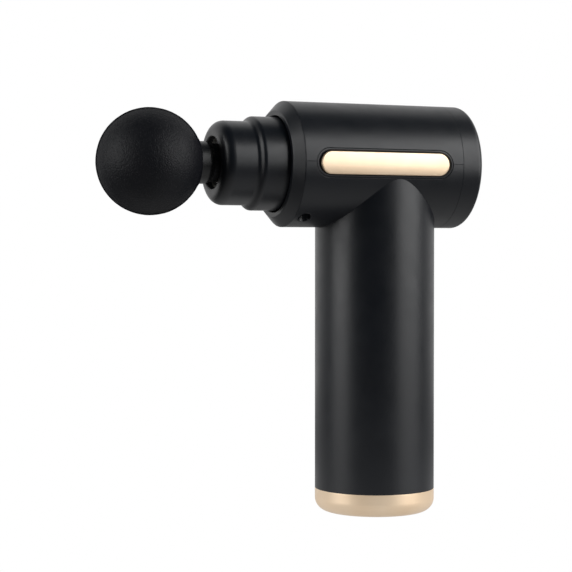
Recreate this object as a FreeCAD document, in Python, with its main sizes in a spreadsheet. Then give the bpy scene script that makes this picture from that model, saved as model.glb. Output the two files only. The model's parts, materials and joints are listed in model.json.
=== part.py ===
import FreeCAD, Part
import math
import os

import Sketcher
from FreeCAD import Placement, Rotation, Vector
from types import SimpleNamespace

# Pocket massage gun, in millimetres.
# Frame: +Z up the handle, origin at the centre of the base cap's underside, massage head
# towards -X. "Left" is the -Y side, as seen by someone who holds the gun.
# The motor stands upright in the handle. Its crank pin drives a sliding block in the yoke at
# the back of the piston, and the piston carries the massage head.

DRIVING_SIZES = {
    # outer form
    "handle_radius": 21.8,
    "barrel_radius": 22.5,
    "barrel_height": 126.0,
    "wall": 2.0,
    "base_height": 8.4,
    "base_rounding": 4.8,
    "front_seam": -36.5,
    "rear_seam": 24.8,
    "barrel_rear": 33.0,
    "rear_rounding": 2.0,
    "ring_front": -40.0,
    "ring_bore_radius": 17.1,
    "ring_slope": 3.5,
    # nose
    "nose_front": -63.2,
    "nose_small_radius": 14.9,
    "nose_big_radius": 16.7,
    "nose_step_front": -50.7,
    "nose_step_rear": -49.1,
    "nose_bore_radius": 9.3,
    "nose_rounding": 4.0,
    "nose_flange_front": -35.5,
    "nose_flange_rear": -29.7,
    "nose_screw_place": -32.6,
    "nose_screw_spread": 11.3,
    # massage head
    "ball_radius": 18.8,
    "ball_centre": -85.9,
    "neck_radius": 7.5,
    "neck_waist_radius": 6.8,
    "plug_radius": 6.0,
    "plug_length": 21.5,
    # decorative side trim
    "trim_front": -30.7,
    "trim_rear": 18.9,
    "trim_height": 8.0,
    "trim_drop": 0.3,
    "trim_proud": 0.45,
    "bezel_margin": 1.1,
    "pocket_floor": 21.0,
    # drive
    "crank_throw": 3.0,
    "crank_pin_radius": 2.5,
    "piston_front": -60.2,
    "piston_radius": 9.0,
    "yoke_half_length": 9.2,
    "yoke_half_width": 11.0,
    "yoke_half_height": 7.0,
    "slider_side": 9.0,
    "running_gap": 0.05,
    "liner_radius": 11.6,
    "bush_radius": 10.4,
    # motor
    "frame_bottom": 102.0,
    "frame_thickness": 4.0,
    "frame_radius": 19.4,
    "shaft_radius": 2.0,
    "bearing_radius": 4.5,
    "bearing_height": 4.0,
    "bell_radius": 16.4,
    "bell_bottom": 84.0,
    "bell_wall": 1.4,
    "stator_radius": 13.4,
    "stator_bottom": 88.5,
    "stator_height": 9.0,
    "magnet_thickness": 1.2,
    # battery
    "cell_radius": 9.2,
    "cell_length": 65.0,
    "cell_bottom": 15.5,
    "cell_spread": 9.4,
    "holder_radius": 19.6,
    # electronics
    "board_thickness": 1.4,
    "board_front": 24.0,
    "board_radius": 17.6,
    "button_radius": 6.2,
    "button_proud": 0.6,
    "lead_radius": 0.6,
}

MAGNET_COUNT = 14
TOOTH_COUNT = 12
FULL_TURN = 360.0

doc = FreeCAD.newDocument("massage_gun")
sheet = doc.addObject("Spreadsheet::Sheet", "sizes")
for row, (alias, number) in enumerate(DRIVING_SIZES.items(), start=1):
    sheet.set(f"A{row}", alias)
    sheet.set(f"B{row}", str(number))
    sheet.setAlias(f"B{row}", alias)
doc.recompute()


class Size:
    """A number in millimetres together with the sheet formula that gives it."""

    def __init__(self, value, formula):
        self.value = value
        self.formula = formula

    def __add__(self, other):
        other = as_size(other)
        return Size(self.value + other.value, f"({self.formula} + {other.formula})")

    def __sub__(self, other):
        other = as_size(other)
        return Size(self.value - other.value, f"({self.formula} - {other.formula})")

    def __mul__(self, other):
        other = as_size(other)
        return Size(self.value * other.value, f"({self.formula} * {other.formula})")

    def __truediv__(self, other):
        other = as_size(other)
        return Size(self.value / other.value, f"({self.formula} / {other.formula})")

    def __neg__(self):
        return Size(-self.value, f"(0 - {self.formula})")

    def __radd__(self, other):
        return as_size(other) + self

    def __rsub__(self, other):
        return as_size(other) - self

    def __rmul__(self, other):
        return as_size(other) * self


def as_size(number):
    if isinstance(number, Size):
        return number
    return Size(float(number), f"({float(number):.6f})")


size = SimpleNamespace(
    **{alias: Size(number, f"sizes.{alias}") for alias, number in DRIVING_SIZES.items()}
)

# Sizes that follow from the driving ones.
BARREL_AXIS = size.barrel_height
BARREL_BORE = size.barrel_radius - size.wall - 0.2
HANDLE_BORE = size.handle_radius - size.wall
FRAME_TOP = size.frame_bottom + size.frame_thickness
PIN_PLACE = -size.crank_throw
PISTON_BORE = size.plug_radius + 0.1
CELL_TOP = size.cell_bottom + size.cell_length
BOARD_REAR = size.board_front + size.board_thickness
CAP_INSIDE = size.barrel_rear - size.wall
TRIM_LEVEL = BARREL_AXIS - size.trim_drop

# Gaps between pushed-together parts and between glued or pressed parts.
FIT_GAP = as_size(0.1)
SNUG_GAP = as_size(0.05)

# One small screw, used throughout.
SCREW_RADIUS = as_size(0.9)
SCREW_HOLE_RADIUS = as_size(1.1)
SCREW_HEAD_RADIUS = as_size(1.7)
SCREW_HEAD_HEIGHT = as_size(1.2)
SCREW_POST_RADIUS = as_size(2.4)

ALONG = {
    "X": Rotation(Vector(0, 1, 0), 90),
    "Y": Rotation(Vector(1, 0, 0), -90),
    "Z": Rotation(),
}

nodes = {}


def keep(label, made):
    """Marks a document object as one finished sub-part of the assembly."""
    made.Label = label
    nodes[label] = made
    return made


def bind(made, prop, amount):
    made.setExpression(prop, as_size(amount).formula)


def place(made, x=0, y=0, z=0, rotation=ALONG["Z"]):
    spot = [as_size(amount) for amount in (x, y, z)]
    made.Placement = Placement(Vector(*[amount.value for amount in spot]), rotation)
    for axis, amount in zip("xyz", spot):
        made.setExpression(f"Placement.Base.{axis}", amount.formula)
    return made


# ---------------------------------------------------------------- Part primitives


def rod(name, radius, length, x=0, y=0, z=0, along="Z"):
    """Cylinder that starts at the given point and runs towards + along its axis."""
    made = doc.addObject("Part::Cylinder", name)
    bind(made, "Radius", radius)
    bind(made, "Height", length)
    return place(made, x, y, z, ALONG[along])


def block(name, x, y, z):
    """Box between two limits on each axis."""
    made = doc.addObject("Part::Box", name)
    for prop, (low, high) in zip(("Length", "Width", "Height"), (x, y, z)):
        bind(made, prop, as_size(high) - as_size(low))
    return place(made, x[0], y[0], z[0])


def join(name, *pieces):
    made = doc.addObject("Part::MultiFuse", name)
    made.Shapes = list(pieces)
    made.Refine = True
    return made


def cut(name, base, *tools):
    made = doc.addObject("Part::Cut", name)
    made.Base = base
    made.Tool = tools[0] if len(tools) == 1 else join(f"{name}_tools", *tools)
    made.Refine = True
    return made


def overlap(name, first, second):
    made = doc.addObject("Part::Common", name)
    made.Base = first
    made.Tool = second
    return made


def group(name, pieces):
    """Several separate solids that count as one sub-part."""
    made = doc.addObject("Part::Compound", name)
    made.Links = list(pieces)
    return made


def tube(name, outer, inner, length, x=0, y=0, z=0, along="Z"):
    skin = rod(f"{name}_outside", outer, length, x, y, z, along)
    hole = rod(f"{name}_inside", inner, length, x, y, z, along)
    return cut(name, skin, hole)


def small_screw(name, shank_length, x, y, z, along="Z", shank_ahead=False):
    """Screw whose head rests on the given point; its shank lies ahead of or behind it."""
    spot = {"X": as_size(x), "Y": as_size(y), "Z": as_size(z)}
    head = (SCREW_HEAD_RADIUS, SCREW_HEAD_HEIGHT, not shank_ahead)
    shank = (SCREW_RADIUS, as_size(shank_length), shank_ahead)
    rods = []
    for radius, length, ahead in (head, shank):
        start = dict(spot)
        if not ahead:
            start[along] = spot[along] - length
        rods.append(rod(f"{name}_rod", radius, length, start["X"], start["Y"], start["Z"], along))
    return join(name, *rods)


def round_edges(name, base, radius, wanted):
    """Part fillet on the edges of a finished object that the test picks."""
    doc.recompute()
    made = doc.addObject("Part::Fillet", name)
    made.Base = base
    picked = [number for number, edge in enumerate(base.Shape.Edges, start=1) if wanted(edge)]
    made.Edges = [(number, radius.value, radius.value) for number in picked]
    return made


# ---------------------------------------------------------------- PartDesign bodies


def new_body(label, x=0, y=0, z=0):
    body = doc.addObject("PartDesign::Body", label)
    body.AllowCompound = True
    place(body, x, y, z)
    return keep(label, body)


def new_sketch(body, name, plane="XY_Plane", offset=None):
    sketch = body.newObject("Sketcher::SketchObject", name)
    support = next(item for item in body.Origin.OriginFeatures if item.Role == plane)
    sketch.AttachmentSupport = (support, [""])
    sketch.MapMode = "FlatFace"
    if offset is not None:
        bind(sketch, "AttachmentOffset.Base.z", offset)
    return sketch


def pin_point(sketch, element, end, u, v):
    """Fixes one point of a sketch element at (u, v), both bound to the sheet."""
    for kind, amount in (("DistanceX", as_size(u)), ("DistanceY", as_size(v))):
        rule = Sketcher.Constraint(kind, -1, 1, element, end, amount.value)
        number = sketch.addConstraint(rule)
        sketch.setExpression(f"Constraints[{number}]", amount.formula)


def draw_outline(sketch, corners, arcs=None):
    """Closed outline. Its sides are straight, apart from those that arcs gives a centre for."""
    arcs = arcs or {}
    places = [Vector(as_size(u).value, as_size(v).value, 0) for u, v in corners]
    first = sketch.GeometryCount
    total = len(corners)
    ends = []
    for index in range(total):
        here, there = places[index], places[(index + 1) % total]
        if index not in arcs:
            sketch.addGeometry(Part.LineSegment(here, there), False)
            ends.append((1, 2))
            continue
        centre = Vector(*[as_size(amount).value for amount in arcs[index]], 0)
        out, back = here - centre, there - centre
        turns_left = out.cross(back).z > 0
        start, stop = (out, back) if turns_left else (back, out)
        angles = [math.atan2(arm.y, arm.x) for arm in (start, stop)]
        circle = Part.Circle(centre, Vector(0, 0, 1), out.Length)
        sketch.addGeometry(Part.ArcOfCircle(circle, *angles), False)
        ends.append((1, 2) if turns_left else (2, 1))
    for index in range(total):
        following = (index + 1) % total
        joint = (first + index, ends[index][1], first + following, ends[following][0])
        sketch.addConstraint(Sketcher.Constraint("Coincident", *joint))
    for index, (u, v) in enumerate(corners):
        pin_point(sketch, first + index, ends[index][0], u, v)
    for index, (u, _) in arcs.items():
        middle = as_size(u)
        rule = Sketcher.Constraint("DistanceX", -1, 1, first + index, 3, middle.value)
        sketch.setExpression(f"Constraints[{sketch.addConstraint(rule)}]", middle.formula)


def draw_circle(sketch, u, v, radius):
    centre = Vector(as_size(u).value, as_size(v).value, 0)
    radius = as_size(radius)
    circle = sketch.addGeometry(Part.Circle(centre, Vector(0, 0, 1), radius.value), False)
    pin_point(sketch, circle, 3, u, v)
    number = sketch.addConstraint(Sketcher.Constraint("Radius", circle, radius.value))
    sketch.setExpression(f"Constraints[{number}]", radius.formula)


def draw_stadium(sketch, low, high, radius):
    """Slot shape with round ends, from u = low to u = high, centred on v = 0."""
    low, high, radius = as_size(low), as_size(high), as_size(radius)
    start = low + radius
    end = high - radius
    reach = radius.value
    left = Vector(start.value, 0, 0)
    right = Vector(end.value, 0, 0)
    normal = Vector(0, 0, 1)
    quarter = math.pi / 2
    first = sketch.GeometryCount
    top = Part.LineSegment(Vector(end.value, reach, 0), Vector(start.value, reach, 0))
    bottom = Part.LineSegment(Vector(start.value, -reach, 0), Vector(end.value, -reach, 0))
    front = Part.ArcOfCircle(Part.Circle(left, normal, reach), quarter, 3 * quarter)
    rear = Part.ArcOfCircle(Part.Circle(right, normal, reach), -quarter, quarter)
    for element in (top, front, bottom, rear):
        sketch.addGeometry(element, False)
    for index in range(4):
        following = first + (index + 1) % 4
        sketch.addConstraint(Sketcher.Constraint("Coincident", first + index, 2, following, 1))
    pin_point(sketch, first, 1, end, radius)
    pin_point(sketch, first, 2, start, radius)
    pin_point(sketch, first + 2, 1, start, -radius)
    pin_point(sketch, first + 2, 2, end, -radius)
    for index, centre in ((1, start), (3, end)):
        number = sketch.addConstraint(
            Sketcher.Constraint("DistanceX", -1, 1, first + index, 3, centre.value)
        )
        sketch.setExpression(f"Constraints[{number}]", centre.formula)


def turned(label, corners, about, z=0, arcs=None):
    """Body of revolution. About X the corners are (x, radius); about Z they are (radius, z)."""
    body = new_body(label, z=z)
    sketch = new_sketch(body, f"{label}_profile", "XZ_Plane")
    draw_outline(sketch, corners, arcs)
    feature = body.newObject("PartDesign::Revolution", f"{label}_turned")
    feature.Profile = sketch
    feature.ReferenceAxis = (sketch, ["H_Axis" if about == "X" else "V_Axis"])
    feature.Angle = FULL_TURN
    return body


def pad(body, name, sketch, length, reverse=False):
    feature = body.newObject("PartDesign::Pad", name)
    feature.Profile = sketch
    bind(feature, "Length", length)
    feature.Reversed = reverse
    return feature


def pocket(body, name, sketch, length, reverse):
    """Pocket with its direction given; it must take material away."""
    doc.recompute()
    before = body.Shape.Volume
    feature = body.newObject("PartDesign::Pocket", name)
    feature.Profile = sketch
    bind(feature, "Length", length)
    feature.Reversed = reverse
    doc.recompute()
    if body.Shape.Volume >= before:
        raise RuntimeError(f"{name} removes nothing")
    return feature


def polar_pattern(body, name, originals, sketch, count):
    feature = body.newObject("PartDesign::PolarPattern", name)
    feature.Originals = originals
    feature.Axis = (sketch, ["N_Axis"])
    feature.Angle = FULL_TURN
    feature.Occurrences = count
    body.Tip = feature
    return feature


def round_rims(body, name, radius, rims, about="X"):
    """PartDesign fillet on the circular rims given as (place along the axis, rim radius)."""
    doc.recompute()
    along = Vector(1, 0, 0) if about == "X" else Vector(0, 0, 1)
    base = body.Tip
    picked = []
    for number, edge in enumerate(base.Shape.Edges, start=1):
        if not isinstance(edge.Curve, Part.Circle):
            continue
        for spot, rim in rims:
            near = abs(edge.Curve.Center.dot(along) - as_size(spot).value) < 0.02
            if near and abs(edge.Curve.Radius - as_size(rim).value) < 0.02:
                picked.append(f"Edge{number}")
    if len(picked) != len(rims):
        raise RuntimeError(f"{name} found {len(picked)} of {len(rims)} rims")
    feature = body.newObject("PartDesign::Fillet", name)
    feature.Base = (base, picked)
    bind(feature, "Radius", radius)
    return feature


def stadium_prism(name, low, high, radius, start, length, side, taper=0.0):
    """Stadium seen from the side of the barrel, run outward from y = start on one side."""
    sketch = doc.addObject("Sketcher::SketchObject", f"{name}_outline")
    place(sketch, 0, start * side, TRIM_LEVEL, Rotation(Vector(1, 0, 0), 90))
    draw_stadium(sketch, low, high, radius)
    made = doc.addObject("Part::Extrusion", name)
    made.Base = sketch
    made.DirMode = "Normal"
    made.Solid = True
    made.Reversed = side > 0
    bind(made, "LengthFwd", length)
    made.TaperAngle = taper
    return made


def polar(radius, degrees):
    turn = math.radians(degrees)
    return radius * math.cos(turn), radius * math.sin(turn)


# ---------------------------------------------------------------- massage head

ANCHOR_FRONT = size.ball_centre
ANCHOR_RADIUS = as_size(10.0)
ANCHOR_MIDDLE = size.ball_centre + 5.0
ANCHOR_REAR = size.ball_centre + 8.0
STEM_TIP_RADIUS = as_size(6.0)
PLUG_CHAMFER = as_size(1.0)
NECK_ROUNDING = as_size(0.8)
NECK_STEP = size.nose_front - 2.8
WAIST_START = size.nose_front - 1.0
GROOVE_WIDTH = as_size(1.8)
GROOVE_DEPTH = as_size(0.9)
RING_OFFSETS = (6.0, 14.0)


def make_head():
    """Moulded stem with a plug for the piston, two O-rings on it, and the foam ball."""
    plug_end = size.piston_front + size.plug_length
    corners = [(ANCHOR_FRONT, 0), (ANCHOR_FRONT, STEM_TIP_RADIUS)]
    corners += [(ANCHOR_MIDDLE, STEM_TIP_RADIUS)]
    corners += [(ANCHOR_MIDDLE, ANCHOR_RADIUS), (ANCHOR_REAR, ANCHOR_RADIUS)]
    corners += [(ANCHOR_REAR, size.neck_radius), (NECK_STEP, size.neck_radius)]
    corners += [(WAIST_START, size.neck_waist_radius)]
    corners += [(size.piston_front, size.neck_waist_radius)]
    corners += [(size.piston_front, size.plug_radius)]
    for offset in RING_OFFSETS:
        start = size.piston_front + offset
        floor = size.plug_radius - GROOVE_DEPTH
        corners += [(start, size.plug_radius), (start, floor)]
        corners += [(start + GROOVE_WIDTH, floor), (start + GROOVE_WIDTH, size.plug_radius)]
    corners += [(plug_end - PLUG_CHAMFER, size.plug_radius)]
    corners += [(plug_end, size.plug_radius - PLUG_CHAMFER)]
    corners += [(plug_end, 0)]
    stem = turned("head_stem", corners, "X", z=BARREL_AXIS)
    round_rims(stem, "head_stem_soft_neck", NECK_ROUNDING, [(NECK_STEP, size.neck_radius)])

    rings = []
    for offset in RING_OFFSETS:
        ring = doc.addObject("Part::Torus", "o_ring")
        section = GROOVE_DEPTH / 2
        bind(ring, "Radius2", section)
        bind(ring, "Radius1", size.plug_radius - section)
        middle = size.piston_front + offset + GROOVE_WIDTH / 2
        rings.append(place(ring, middle, 0, BARREL_AXIS, ALONG["X"]))
    keep("stem_o_rings", group("stem_o_rings", rings))

    ball = doc.addObject("Part::Sphere", "ball_outside")
    bind(ball, "Radius", size.ball_radius)
    place(ball, size.ball_centre, 0, BARREL_AXIS)
    spaces = []
    for radius, start, end in (
        (STEM_TIP_RADIUS, ANCHOR_FRONT, ANCHOR_MIDDLE),
        (ANCHOR_RADIUS, ANCHOR_MIDDLE, ANCHOR_REAR),
        (size.neck_radius, ANCHOR_REAR, ANCHOR_REAR + size.ball_radius),
    ):
        spaces.append(rod("ball_space", radius, end - start, start, 0, BARREL_AXIS, "X"))
    keep("foam_ball", cut("foam_ball", ball, *spaces))


# ---------------------------------------------------------------- nose

LIP_REAR = size.nose_front + 2.2
LINER_FRONT = LIP_REAR + FIT_GAP
LINER_REAR = as_size(-15.0)
FRONT_BUSH_LENGTH = as_size(12.9)
REAR_BUSH_LENGTH = as_size(15.0)
BOSS_RADIUS = as_size(3.6)
BOSS_TOP = BARREL_AXIS - 14.5
SCREW_SEAT = BARREL_AXIS - 16.2
NOSE_SCREW_LENGTH = as_size(6.0)
NOSE_THREAD_RADIUS = as_size(0.95)
STEP_ROUNDING = as_size(1.6)
RIM_ROUNDING = as_size(0.5)
RING_ROUNDING = as_size(0.6)
FRONT_DAMPER_LENGTH = as_size(6.0)
REAR_DAMPER_LENGTH = as_size(8.0)


def nose_screw_rods(name, radius, length, start):
    """One upright rod at each of the two nose screws."""
    spread = size.nose_screw_spread
    return [
        rod(name, radius, length, size.nose_screw_place, spread * side, start)
        for side in (-1, 1)
    ]


def make_nose():
    small_inside = size.nose_small_radius - size.wall
    big_inside = size.nose_big_radius - size.wall
    flange_radius = BARREL_BORE - SNUG_GAP
    round_rear = size.nose_front + size.nose_rounding
    round_inside = size.nose_small_radius - size.nose_rounding
    corners = [(size.nose_front, size.nose_bore_radius), (size.nose_front, round_inside)]
    corners += [(round_rear, size.nose_small_radius)]
    corners += [(size.nose_step_front, size.nose_small_radius)]
    corners += [(size.nose_step_rear, size.nose_big_radius)]
    corners += [(size.nose_flange_front, size.nose_big_radius)]
    corners += [(size.nose_flange_front, flange_radius), (size.nose_flange_rear, flange_radius)]
    corners += [(size.nose_flange_rear, big_inside), (size.nose_step_rear, big_inside)]
    corners += [(size.nose_step_front, small_inside), (LIP_REAR, small_inside)]
    corners += [(LIP_REAR, size.nose_bore_radius)]
    front_round = {1: (round_rear, round_inside)}
    sleeve = turned("nose_sleeve", corners, "X", z=BARREL_AXIS, arcs=front_round)
    step_rims = [(size.nose_step_rear, size.nose_big_radius)]
    step_rims += [(size.nose_step_front, size.nose_small_radius)]
    round_rims(sleeve, "nose_sleeve_step_round", STEP_ROUNDING, step_rims)
    mouth_rim = [(size.nose_front, size.nose_bore_radius)]
    round_rims(sleeve, "nose_sleeve_mouth_round", RIM_ROUNDING, mouth_rim)
    # Space for the housing's two screw bosses, and the pilot holes above them.
    boss_space = new_sketch(sleeve, "nose_boss_space", offset=-size.barrel_radius)
    pilot = new_sketch(sleeve, "nose_pilot_holes", offset=-size.barrel_radius)
    for side in (-1, 1):
        spot = size.nose_screw_spread * side
        draw_circle(boss_space, size.nose_screw_place, spot, BOSS_RADIUS + FIT_GAP)
        draw_circle(pilot, size.nose_screw_place, spot, NOSE_THREAD_RADIUS)
    boss_depth = size.barrel_radius - (BARREL_AXIS - BOSS_TOP) + FIT_GAP
    pilot_depth = size.barrel_radius - (BARREL_AXIS - SCREW_SEAT) + NOSE_SCREW_LENGTH + FIT_GAP * 2
    pocket(sleeve, "nose_boss_pockets", boss_space, boss_depth, True)
    pocket(sleeve, "nose_pilot_pockets", pilot, pilot_depth, True)

    liner_length = LINER_REAR - LINER_FRONT
    liner = tube("cylinder_liner", size.liner_radius, size.bush_radius, liner_length,
                 LINER_FRONT, 0, BARREL_AXIS, "X")
    keep("cylinder_liner", liner)
    bush_bore = size.piston_radius + size.running_gap
    front_bush = tube("front_guide_bush", size.bush_radius, bush_bore, FRONT_BUSH_LENGTH,
                      LINER_FRONT, 0, BARREL_AXIS, "X")
    keep("front_guide_bush", front_bush)
    rear_bush = tube("rear_guide_bush", size.bush_radius, bush_bore, REAR_BUSH_LENGTH,
                     LINER_REAR - REAR_BUSH_LENGTH, 0, BARREL_AXIS, "X")
    keep("rear_guide_bush", rear_bush)

    front_damper = tube("front_damper", small_inside, size.liner_radius, FRONT_DAMPER_LENGTH,
                        LINER_FRONT + SNUG_GAP, 0, BARREL_AXIS, "X")
    rear_damper = tube("rear_damper", big_inside, size.liner_radius, REAR_DAMPER_LENGTH,
                       size.nose_step_rear + STEP_ROUNDING, 0, BARREL_AXIS, "X")
    keep("nose_dampers", group("nose_dampers", [front_damper, rear_damper]))


def make_front_ring():
    ring_lip = size.nose_flange_front - FIT_GAP
    slope_start = size.front_seam - FIT_GAP * 2
    slope_radius = size.barrel_radius - size.ring_slope
    lip_radius = BARREL_BORE - FIT_GAP
    corners = [(size.front_seam, size.barrel_radius), (slope_start, size.barrel_radius)]
    corners += [(size.ring_front, slope_radius), (size.ring_front, size.ring_bore_radius)]
    corners += [(ring_lip, size.ring_bore_radius), (ring_lip, lip_radius)]
    corners += [(size.front_seam, lip_radius)]
    ring = turned("front_ring", corners, "X", z=BARREL_AXIS)
    outer_rim = [(size.ring_front, slope_radius)]
    round_rims(ring, "front_ring_outer_round", RING_ROUNDING, outer_rim)
    inner_rim = [(size.ring_front, size.ring_bore_radius)]
    round_rims(ring, "front_ring_inner_round", RIM_ROUNDING, inner_rim)


# ---------------------------------------------------------------- shells

POCKET_FRONT = size.trim_front - size.bezel_margin - 0.7
POCKET_REAR = size.trim_rear + size.bezel_margin + 0.6
POCKET_RADIUS = size.trim_height / 2 + size.bezel_margin + 0.05
TRIM_PINS = (-24.0, 13.0)
TRIM_PIN_RADIUS = as_size(1.0)
TRIM_PIN_HOLE_DEPTH = as_size(4.0)
TRIM_PIN_LENGTH = as_size(2.2)
TRIM_ROUNDING = as_size(0.3)
BEZEL_FLOOR = as_size(0.5)
BEZEL_SLOPE = 50.0
LEDGE_HEIGHT = as_size(4.0)
LEDGE_BOTTOM = size.frame_bottom - LEDGE_HEIGHT
LEDGE_RADIUS = as_size(16.9)
LEDGE_NOTCH_INSIDE = 14.0
BOSS_HEIGHT = as_size(4.5)
SCREW_WELL_RADIUS = as_size(2.35)
FRAME_SCREW_CIRCLE = 17.9
FRAME_SCREW_ANGLES = (45, 135, 225, 315)
LEAD_NOTCH_HALF = as_size(4.5)
HOOK_PLACES = (-9.0, 9.0)
HOOK_HALF = 3.0
HOOK_INSIDE = 18.2
HOOK_THICKNESS = 1.0
BARB_REACH = 0.4
CATCH_INSIDE = 19.45
CATCH_ROOT = 20.6
CATCH_BOTTOM = BARREL_AXIS - 3.9
CATCH_TOP = BARREL_AXIS - 2.5
HOOK_BOTTOM = BARREL_AXIS - 5.0
HOOK_TOP = BARREL_AXIS + 2.0
FAR = as_size(60.0)


def trim_cuts(name):
    """Pockets for both side bezels and the holes for the strips' pins."""
    tools = []
    for side in (-1, 1):
        prism = stadium_prism(f"{name}_pocket", POCKET_FRONT, POCKET_REAR, POCKET_RADIUS,
                              size.pocket_floor, size.wall * 2, side)
        tools.append(prism)
        middle = size.pocket_floor * side - TRIM_PIN_HOLE_DEPTH / 2
        for spot in TRIM_PINS:
            hole = rod(f"{name}_pin_hole", TRIM_PIN_RADIUS + SNUG_GAP, TRIM_PIN_HOLE_DEPTH,
                       spot, middle, TRIM_LEVEL, "Y")
            tools.append(hole)
    return tools


def make_handle_housing():
    """Lower half of the barrel and the handle tube, moulded in one."""
    barrel_length = size.rear_seam - size.front_seam
    tube_height = BARREL_AXIS - size.base_height
    barrel = rod("housing_barrel", size.barrel_radius, barrel_length,
                 size.front_seam, 0, BARREL_AXIS, "X")
    handle = rod("housing_handle", size.handle_radius, tube_height, z=size.base_height)
    upper_half = block("housing_upper_half", (-FAR, FAR), (-FAR, FAR), (BARREL_AXIS, BARREL_AXIS + FAR))
    outside = cut("housing_outside", join("housing_union", barrel, handle), upper_half)
    barrel_bore = rod("housing_barrel_bore", BARREL_BORE, barrel_length,
                      size.front_seam, 0, BARREL_AXIS, "X")
    handle_bore = rod("housing_handle_bore", HANDLE_BORE, tube_height, z=size.base_height)
    shell = cut("housing_shell", outside, barrel_bore, handle_bore)

    ledge_outside = HANDLE_BORE + size.wall / 4
    ledge = tube("housing_ledge", ledge_outside, LEDGE_RADIUS, LEDGE_HEIGHT, z=LEDGE_BOTTOM)
    bosses = nose_screw_rods("housing_boss", BOSS_RADIUS, BOSS_HEIGHT, BOSS_TOP - BOSS_HEIGHT)
    # The bosses stay behind the front ring's lip and inside the barrel's wall.
    inside_barrel = rod("housing_boss_limit", size.barrel_radius - size.wall / 4, BOSS_RADIUS * 2,
                        size.nose_flange_front, 0, BARREL_AXIS, "X")
    bosses_inside = overlap("housing_bosses", group("housing_boss_pair", bosses), inside_barrel)
    catches = []
    for side in (-1, 1):
        for spot in HOOK_PLACES:
            across = sorted((CATCH_INSIDE * side, CATCH_ROOT * side))
            span = (spot - HOOK_HALF, spot + HOOK_HALF)
            catches.append(block("housing_catch", span, across, (CATCH_BOTTOM, CATCH_TOP)))
    solid = join("housing_solid", shell, ledge, bosses_inside, *catches)

    tools = trim_cuts("housing")
    well_bottom = BARREL_AXIS - size.barrel_radius - 1
    tools += nose_screw_rods("housing_screw_well", SCREW_WELL_RADIUS, SCREW_SEAT - well_bottom, well_bottom)
    tools += nose_screw_rods("housing_screw_hole", SCREW_HOLE_RADIUS, BOSS_HEIGHT, SCREW_SEAT - FIT_GAP)
    notch_across = (LEDGE_NOTCH_INSIDE, HANDLE_BORE - FIT_GAP)
    notch_depth = (LEDGE_BOTTOM - 1, size.frame_bottom + 1)
    notch = block("housing_lead_notch", (-LEAD_NOTCH_HALF, LEAD_NOTCH_HALF), notch_across, notch_depth)
    tools.append(notch)
    for angle in FRAME_SCREW_ANGLES:
        x, y = polar(FRAME_SCREW_CIRCLE, angle)
        tools.append(rod("housing_frame_pilot", SCREW_RADIUS, LEDGE_HEIGHT, x, y, LEDGE_BOTTOM))
    keep("handle_housing", cut("handle_housing", solid, *tools))


def make_top_cover():
    """Upper half of the barrel, with four hooks that snap under the housing's catches."""
    barrel_length = size.rear_seam - size.front_seam
    shell = tube("cover_barrel", size.barrel_radius, BARREL_BORE, barrel_length,
                 size.front_seam, 0, BARREL_AXIS, "X")
    lower_half = block("cover_lower_half", (-FAR, FAR), (-FAR, FAR), (BARREL_AXIS - FAR, BARREL_AXIS))
    half = cut("cover_half", shell, lower_half, *trim_cuts("cover"))
    hooks = []
    for side in (-1, 1):
        for spot in HOOK_PLACES:
            span = (spot - HOOK_HALF + FIT_GAP * 2, spot + HOOK_HALF - FIT_GAP * 2)
            arm_outside = HOOK_INSIDE + HOOK_THICKNESS
            foot = sorted((HOOK_INSIDE * side, CATCH_ROOT * side))
            arm = sorted((HOOK_INSIDE * side, arm_outside * side))
            barb = sorted((arm_outside * side, (arm_outside + BARB_REACH) * side))
            hooks.append(block("hook_foot", span, foot, (BARREL_AXIS + FIT_GAP * 3, HOOK_TOP)))
            hooks.append(block("hook_arm", span, arm, (HOOK_BOTTOM, HOOK_TOP)))
            hooks.append(block("hook_barb", span, barb, (HOOK_BOTTOM, CATCH_BOTTOM - FIT_GAP * 2)))
    keep("top_cover", join("top_cover", half, *hooks))


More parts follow.
